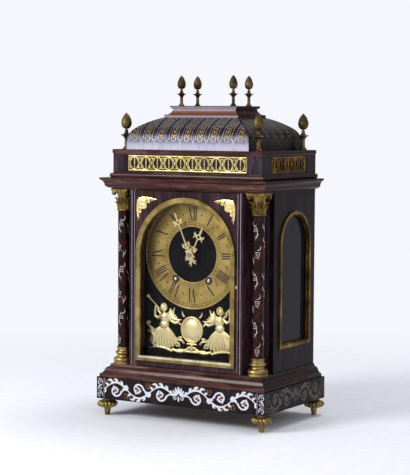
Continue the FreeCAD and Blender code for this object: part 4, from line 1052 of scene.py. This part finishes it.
def handLines(reach, boss, wings, tail):
    # a hand that points up: stem, pierced head with curls and a spear tip, then the hub and its tail
    blade = [[(0, 5.5, 1.65), (0, reach * 0.2, 1.87), (0, reach * 0.32, 1.155), (0, boss - 3.6, 0.99)]]
    blade += shifted([circleLine(3.3, 1.2, 20)], 0, boss)
    blade.append(bent((0, boss + 3.4), (0, reach - 0.2), 0, 0.9, 0.12, 1.4))
    curls = [spiral((4, reach * 0.24), 2.4, 0.8, 200, -1.1, 0.8, 0.6, 1),
             bent((3, boss + 1), (wings, boss + 4.8), -0.2, 1.1, 0.3, 0.6),
             bent((3, boss - 1), (wings * 0.95, boss - 5.2), 0.25, 1, 0.3, 0.6),
             spiral((wings * 0.86, boss + 1.2), 2.1, 0.7, 100, -1, 0.7, 0.6, 0.9),
             bent((1, reach * 0.16), (5.8, reach * 0.29), -0.25, 1.2, 0.3, 0.5)]
    hub = [circleLine(4.2, 2, 24), [(0, -5, 3), (0, -tail * 0.4, 3.6), (0, -tail * 0.56, 2.4)]]
    sides = [bent((3.2, 2), (5.2, 8.5), 0.2, 1.8, 0.4, 0.8),
             bent((2.4, -tail * 0.5), (5.8, -tail), -0.16, 1.9, 0.15, 0.4),
             bent((3.4, -tail * 0.7), (7.6, -tail * 0.78), 0.2, 0.9, 0.2, 0.4),
             bent((3.6, -4), (6.4, -7.5), 0.2, 1.2, 0.2, 0.6)]
    return blade + bothWays(curls) + hub + bothWays(sides)


def buildHands():
    centre = span("chapter_ring")[2].z
    for node, hand in handShape.items():
        place = move(0, span(node)[2].y, centre) @ spin(hand["angle"], "Y")
        piece = strokes(handLines(*hand["lengths"]), 0.3, 1, place)
        finish(piece, "ornate_" + node, handGold, "gilt_brass", hand["body"], node, angle=60)


# dial mount, laid out in shares of the arch; widths and sizes are in millimetres

mountShape = {
    "half": 88, "ground": 105, "rise": 67.5, "boss": (14.9, 3.6, 15.8), "bossUp": 0.53,
    "lumps": [(0.557, 0.745, (8.6, 3.6, 9.8), 6), (0.52, 0.80, (3.3, 4.2, 3.2), 0),
              (0.603, 0.80, (3.3, 4.2, 3.2), 0), (0.57, 0.60, (9, 3.8, 7), 0),
              (0.588, 0.985, (5.3, 4.1, 6), 14), (0.643, 0.972, (1.1, 2, 1.2), 0)],
    "hair": (0.572, 1.005), "curlSize": (2.1, 3.6, 2.1),
    "limbs": [[(0.575, 0.86, 2), (0.58, 0.93, 1.7)],
              [(0.625, 0.83, 3.3), (0.70, 0.745, 2.8), (0.765, 0.79, 2.5), (0.765, 0.92, 2.2),
               (0.745, 1.03, 2.2)],
              [(0.64, 0.85, 2.3), (0.70, 0.92, 1.9), (0.70, 1, 1.7)],
              [(0.50, 0.84, 3.2), (0.425, 0.70, 2.8), (0.34, 0.655, 2.4), (0.26, 0.69, 2.2)],
              [(0.655, 0.945, 0.7), (0.74, 1.045, 0.9), (0.84, 1.155, 1.2), (0.89, 1.215, 1.9),
               (0.912, 1.243, 3.2), (0.916, 1.248, 3.4)],
              [(0.49, 0.565, 1.4), (0.56, 0.54, 1.7), (0.635, 0.565, 1.4)]],
    "hems": [(0.33, 0.17), (0.39, 0.11), (0.455, 0.075), (0.52, 0.055), (0.585, 0.05), (0.65, 0.055),
             (0.715, 0.075), (0.775, 0.11), (0.825, 0.16)],
    "curves": [((0.515, 0.86), (0.36, 1.01), 0.25, 1.5, 0.4, 0.8),  # the upper edge of the wing
               ((0.64, 0.50), (0.86, 0.20), -0.16, 2.4, 1.3, 1.2),  # the outer folds of the skirt
               ((0.66, 0.42), (0.82, 0.14), -0.14, 2.4, 1.3, 1.2),
               ((0.80, 0.15), (0.905, 0.44), 0.34, 4, 0.6, 1.2),
               ((0.86, 0.20), (0.935, 0.60), 0.26, 2.6, 0.5, 0.8),
               ((0.80, 0.22), (0.865, 0.55), 0.3, 1.8, 0.5, 0.6),
               ((0.06, 0.10), (0.40, 0.05), -0.16, 2.2, 1.2, 0.9),  # the scrolled ground
               ((0.40, 0), (0.90, 0.03), 0.10, 2.8, 0.5, 1),
               ((0.16, 0.20), (0.31, 0.25), 0.25, 1.7, 0.4, 0.9),
               ((0.10, 0), (0.34, 0.02), 0.1, 2.4, 0.6, 0.9),
               ((0.31, 0.24), (0.36, 0.35), 0.2, 1.5, 0.3, 0.6),
               ((0.155, 0.815), (0.20, 0.94), -0.15, 1.8, 0.15, 0.4),
               ((0.23, 0.62), (0.30, 0.66), 0.2, 1.5, 0.4, 0.4),
               ((0.20, 0.33), (0.30, 0.27), 0.2, 1.6, 0.4, 0.6)],
    "bars": [[(-0.12, 0.02, 2.6), (0.12, 0.02, 2.6)], [(-0.08, 0.11, 2.2), (0.08, 0.11, 2.2)],
             [(0, 0, 3), (0, 0.2, 3)], [(-0.10, 0.20, 1.6), (0.10, 0.20, 1.6)]]}


def buildMount():
    # two winged trumpeters beside an oval boss, over a scrolled ground
    def at(across, up):
        return across * mountShape["half"], mountShape["ground"] + up * mountShape["rise"]

    def laid(paths):
        return [[(*at(across, up), width) for across, up, width in path] for path in paths]

    figure = []
    for across, up, size, turn in mountShape["lumps"]:
        x, z = at(across, up)
        figure.append(ball(size, move(x, 0, z) @ spin(turn, "Y"), 16, 8))
    x, z = at(*mountShape["hair"])
    for step in range(9):
        turn = radians(-60 + 28 * step)
        figure.append(ball(mountShape["curlSize"], move(x - 4.6 * cos(turn), 0, z + 5.2 * sin(turn)), 10, 5))
    curves = list(mountShape["curves"])
    for feather in range(6):
        tip = (0.26 + 0.035 * feather - (0 if feather else 0.04), 0.74 + 0.05 * feather)
        curves.append(((0.50, 0.84), tip, 0.12, 1.6, 0.5, 1.2))
    for index, hem in enumerate(mountShape["hems"]):
        curves.append(((0.515 + 0.012 * index, 0.55), hem, -0.10 + 0.035 * index, 2, 1.5, 1))
    lines = [bent(at(*start), at(*end), *rest) for start, end, *rest in curves] + laid(mountShape["limbs"])
    lines += [spiral(at(0.895, 0.62), 3.8, 1.3, -60, 1.1, 1.5, 0.6, 1.6),
              spiral(at(0.30, 0.16), 4.8, 1.4, -140, -1.3, 1.4, 0.6, 1.7)]
    centre = at(0, mountShape["bossUp"])
    ovals = [[(u * 0.91, v * 0.96, width) for u, v, width in circleLine(*ring, 56)]
             for ring in ((20, 1.9), (16.8, 0.9))]
    figure += [outward(copyOf(part, stretch(-1, 1, 1))) for part in figure]
    figure += [strokes(bothWays(lines), 0.85, 2),
               strokes(shifted(ovals, *centre) + laid(mountShape["bars"]), 1.1, 2),
               ball(mountShape["boss"], move(centre[0], 0, centre[1]), 48, 24)]
    mount = settle(join(figure), move(0, span("dial_mount")[1].y - 1.6))
    finish(mount, "trumpeterMount", mountGold, "gilt_brass", "case", "dial_mount", angle=60)


buildDoorMoulding()
buildSpandrels()
buildDoorEdges()
buildDial()
buildHands()
buildMount()
print("door trim, dial, hands and mount made")

# dome inlay: silver stripes over scalloped feet, with rows of gold drops between them

domeShape = {"pitch": 23.4, "groups": 9, "sideGroups": 7, "silver": 0.45, "gold": 1.9, "relief": 0.12,
             "stripes": [(3.9, 18.5), (8, 16.5)], "dropPitch": 7.8, "shrink": 0.93}


def domeProfile():
    # (how far in, height, length along the surface), read from the front of the dome
    low, high, middle = span("dome")
    tree = BVHTree.FromObject(nodes["dome"], bpy.context.evaluated_depsgraph_get())
    rows = []
    steps = 160
    for step in range(steps):
        height = low.z + 0.2 + (high.z - low.z - 0.4) * step / (steps - 1)
        spot = tree.ray_cast(Vector((0.3, low.y - 100, height)) * mm, Vector((0, 1, 0)))[0]
        inward = spot.y / mm - low.y
        length = rows[-1][2] + dist(rows[-1][:2], (inward, height)) if rows else 0
        rows.append((inward, height, length))
    return rows


def onProfile(rows, length):
    for lower, upper in zip(rows, rows[1:]):
        if upper[2] >= length:
            share = (length - lower[2]) / max(upper[2] - lower[2], 0.001)
            inward, rise = upper[0] - lower[0], upper[1] - lower[1]
            return lower[0] + inward * share, lower[1] + rise * share, atan2(inward, rise)
    return *rows[-1][:2], pi / 2


def onDome(obj, rows, reach, matrix):
    # lays front-facing work on one slope of the dome; reach is the slope's distance from the middle
    def lay(across, proud, up):
        inward, height, tilt = onProfile(rows, up)
        return across, inward - reach + proud * cos(tilt), height - proud * sin(tilt)

    return outward(settle(reshape(obj, lay), matrix), 0.002)


def upright(across, low, high, width):
    count = max(2, int((high - low) / 3))
    return [(across, low + (high - low) * index / count, width) for index in range(count + 1)]


def clipped(lines, half, rows):
    # keeps what lies inside the slope's mitred ends
    kept = [[point for point in line if abs(point[0]) < half - onProfile(rows, point[1])[0] - 1.5]
            for line in lines]
    return [line for line in kept if len(line) > 1]


def domePattern(groups, half, rows):
    full = rows[-1][2]
    fine, bold = domeShape["silver"], domeShape["gold"]
    inner, outer = domeShape["stripes"]
    silver, gold = [], []
    for index in range(groups):
        middle = (index - (groups - 1) / 2) * domeShape["pitch"]
        for side in (-1, 1):
            for offset, foot in (inner, outer):
                silver.append(upright(middle + side * offset, foot, full - 1, fine))
            silver.append(bent((middle + side * inner[0], inner[1]), (middle, 13.5), 0.3 * side, fine, 1))
            silver.append(bent((middle + side * outer[0], outer[1]), (middle + side * 11.2, 8.5), 0.2 * side,
                               fine * 1.2, 0.4))
        drop, size = inner[1], 1
        while drop < full - 6:
            gold.append(bent((middle, drop), (middle, drop + 5.2 * size), 0, bold * size, 0.25))
            for side in (-1, 1):
                tip = (middle + side * 2.6 * size, drop + 6.2 * size)
                gold.append(bent((middle, drop + 3 * size), tip, -0.2 * side, bold * 0.5 * size, 0.3))
            drop += domeShape["dropPitch"] * size
            size *= domeShape["shrink"]
    return clipped(silver, half, rows), clipped(gold, half, rows)


def buildDomeInlay():
    low, high, middle = span("dome")
    rows = domeProfile()
    halfX, halfY = high.x, (high.y - low.y) / 2
    for name, turn, half, reach, groups in (("front", 0, halfX, halfY, "groups"),
                                            ("right", 90, halfY, halfX, "sideGroups"),
                                            ("back", 180, halfX, halfY, "groups"),
                                            ("left", -90, halfY, halfX, "sideGroups")):
        patterns = domePattern(domeShape[groups], half, rows)
        # painted shade: the sides and back take the dull, darker inlay
        materials = (shadedInlay, shadedInlay) if turn else (domeSilver, domeGold)
        for kind, lines, material in zip(("silver", "gold"), patterns, materials):
            drawn = strokes(lines, domeShape["relief"], 0)
            inlay = onDome(drawn, rows, reach, move(0, middle.y) @ spin(turn))
            finish(inlay, f"dome_{kind}_{name}", material, "ebony_shell", "case", angle=80)


# gallery frets: a rib and a joint are (share of the height, half width)

fretShape = {"pitch": 20.8, "half": 105.7, "sideHalf": 56.4, "rail": 1.3, "plateBack": 1, "groundBack": 2.4,
             "ground": 0.4, "joint": [(-0.35, 0.8), (0, 1.7), (0.35, 0.8)],
             "rib": [(-1, 0.6), (-0.55, 1.3), (-0.2, 0.7), (0, 1.6), (0.2, 0.7), (0.55, 1.3), (1, 0.6)]}


def fretPlate(half, tall, matrix):
    rail = fretShape["rail"]
    side, top = half - rail, tall - rail
    lines = [[(-side, up, rail), (side, up, rail)] for up in (-top, top)]
    lines += [[(across, -top, rail), (across, top, rail)] for across in (-side, side)]
    repeats = round(2 * half / fretShape["pitch"])
    pitch = 2 * side / repeats
    wide, high = pitch * 0.36, tall - 2.2 * rail
    turns = [2 * pi * step / 28 for step in range(29)]
    for index in range(repeats):
        middle = (index + 0.5) * pitch - side
        lines.append([(middle + wide * cos(turn), high * sin(turn), 0.95) for turn in turns])
        lines.append([(middle, high * share, width) for share, width in fretShape["rib"]])
        for up, sign in ((-1, -1), (-1, 1), (1, -1), (1, 1)):
            lines.append(spiral((middle + sign * pitch * 0.35, up * high * 0.55), 2.7, 0.9, 90 * up,
                                sign * up, 0.8, 0.6, 1.1))
            lines.append(bent((middle + sign * wide, up * high * 0.15),
                              (middle + sign * pitch * 0.5, up * high * 0.9), 0.15 * sign * up, 0.8, 0.8))
        if index < repeats - 1:
            lines.append([(middle + pitch / 2, high * share, width) for share, width in fretShape["joint"]])
    return strokes(lines, 0.9, 1, matrix)


def buildFrets():
    low, high, middle = span("gallery_frets")
    tall = (high.z - low.z) / 2
    half, sideHalf, ground = fretShape["half"], fretShape["sideHalf"], fretShape["ground"]
    plateBack, groundBack = fretShape["plateBack"], fretShape["groundBack"]
    sideMiddle = high.y - sideHalf
    front = fretPlate(half, tall, move(0, low.y + plateBack, middle.z))
    finish(front, "frontFret", frontFret, "gilt_brass", "case", "gallery_frets", angle=60)
    sides = [fretPlate(sideHalf, tall, toSide(sign, high.x - plateBack, sideMiddle, middle.z))
             for sign in (-1, 1)]
    finish(join(sides), "sideFrets", wornGold, "gilt_brass", "case", "gallery_frets", angle=60)
    grounds = [block((2 * half, ground, 2 * tall), (0, low.y + groundBack, middle.z))]
    grounds += [block((ground, 2 * sideHalf, 2 * tall), (sign * (high.x - groundBack), sideMiddle, middle.z))
                for sign in (-1, 1)]
    finish(join(grounds), "fretGrounds", fretGround, "velvet", "case", angle=30)


# finials, in shares of a radius and of the height; tip draws the point in

finialShape = {"sizes": {"corner_finials": (8.4, 0.72), "top_finials": (6.7, 0.66)}, "sides": 40,
               "bodyFrom": 0.545, "steps": 22, "scalesBetween": (0.04, 0.97),
               "outline": [(0.66, 0), (0.70, 0.02), (0.60, 0.04, 0.4), (0.36, 0.13, -0.25), (0.36, 0.2),
                           (0.56, 0.335, -0.25), (1.02, 0.378, -0.2), (1.08, 0.39), (1.02, 0.40),
                           (0.45, 0.43, -0.2), (0.42, 0.45, 0.4), (0.32, 0.48, -0.2), (0.32, 0.535)]}


def finial(height, radius, tip):
    outline = profile(finialShape["outline"], height, radius)
    low = finialShape["bodyFrom"] * height
    steps = finialShape["steps"]
    scalesFrom, scalesTo = finialShape["scalesBetween"]
    for step in range(steps + 1):
        share = step / steps
        swell = sin(pi * (share * 1.02) ** tip) ** (0.9 * tip) if share < 1 else 0
        outline.append((max(radius * swell, 0.4), low + (height - low) * share))

    def scale(x, y, z):
        # crossing spiral grooves that leave scales between them
        share = (z - low) / (height - low)
        if not scalesFrom < share < scalesTo:
            return x, y, z
        turn = atan2(y, x)
        groove = min(abs(sin(4 * turn + 8 * share)), abs(sin(4 * turn - 8 * share)))
        squeeze = 0.90 + 0.10 * groove ** 0.5
        return x * squeeze, y * squeeze, z

    return reshape(turned(outline, finialShape["sides"]), scale)


def buildFinials():
    for node, (radius, tip) in finialShape["sizes"].items():
        low, high, middle = span(node)
        places = [move(x, y, low.z) for x in (low.x + radius, high.x - radius)
                  for y in (low.y + radius, high.y - radius)]
        group = join(copies(finial(high.z - low.z, radius, tip), places))
        finish(group, "scaled_" + node, oldBronze, "old_bronze", "case", node, angle=40)


# side windows: (inset, half width) of the beads on the frame, and a slip inside the opening

windowShape = {"beads": [(1.3, 1.2), (4, 0.9)], "beadBack": 1.1, "slip": (5.8, 1.3), "slipBack": 4.8}


def buildWindowBeads():
    low, high, middle = span("side_window_frames")
    arch = ((high.y - low.y) / 2, low.z, high.z)
    beads = []
    for sign in (-1, 1):
        lines = [archLine(*arch, *bead) for bead in windowShape["beads"]]
        beads += [strokes(lines, 0.9, 1, toSide(sign, high.x - windowShape["beadBack"], middle.y)),
                  strokes([archLine(*arch, *windowShape["slip"])], 1.7, 1,
                          toSide(sign, high.x - windowShape["slipBack"], middle.y))]
    finish(join(beads), "windowBeads", wornGold, "gilt_brass", "case", angle=60)


buildDomeInlay()
buildFrets()
buildFinials()
buildWindowBeads()
print("dome, frets, finials and window beads made")
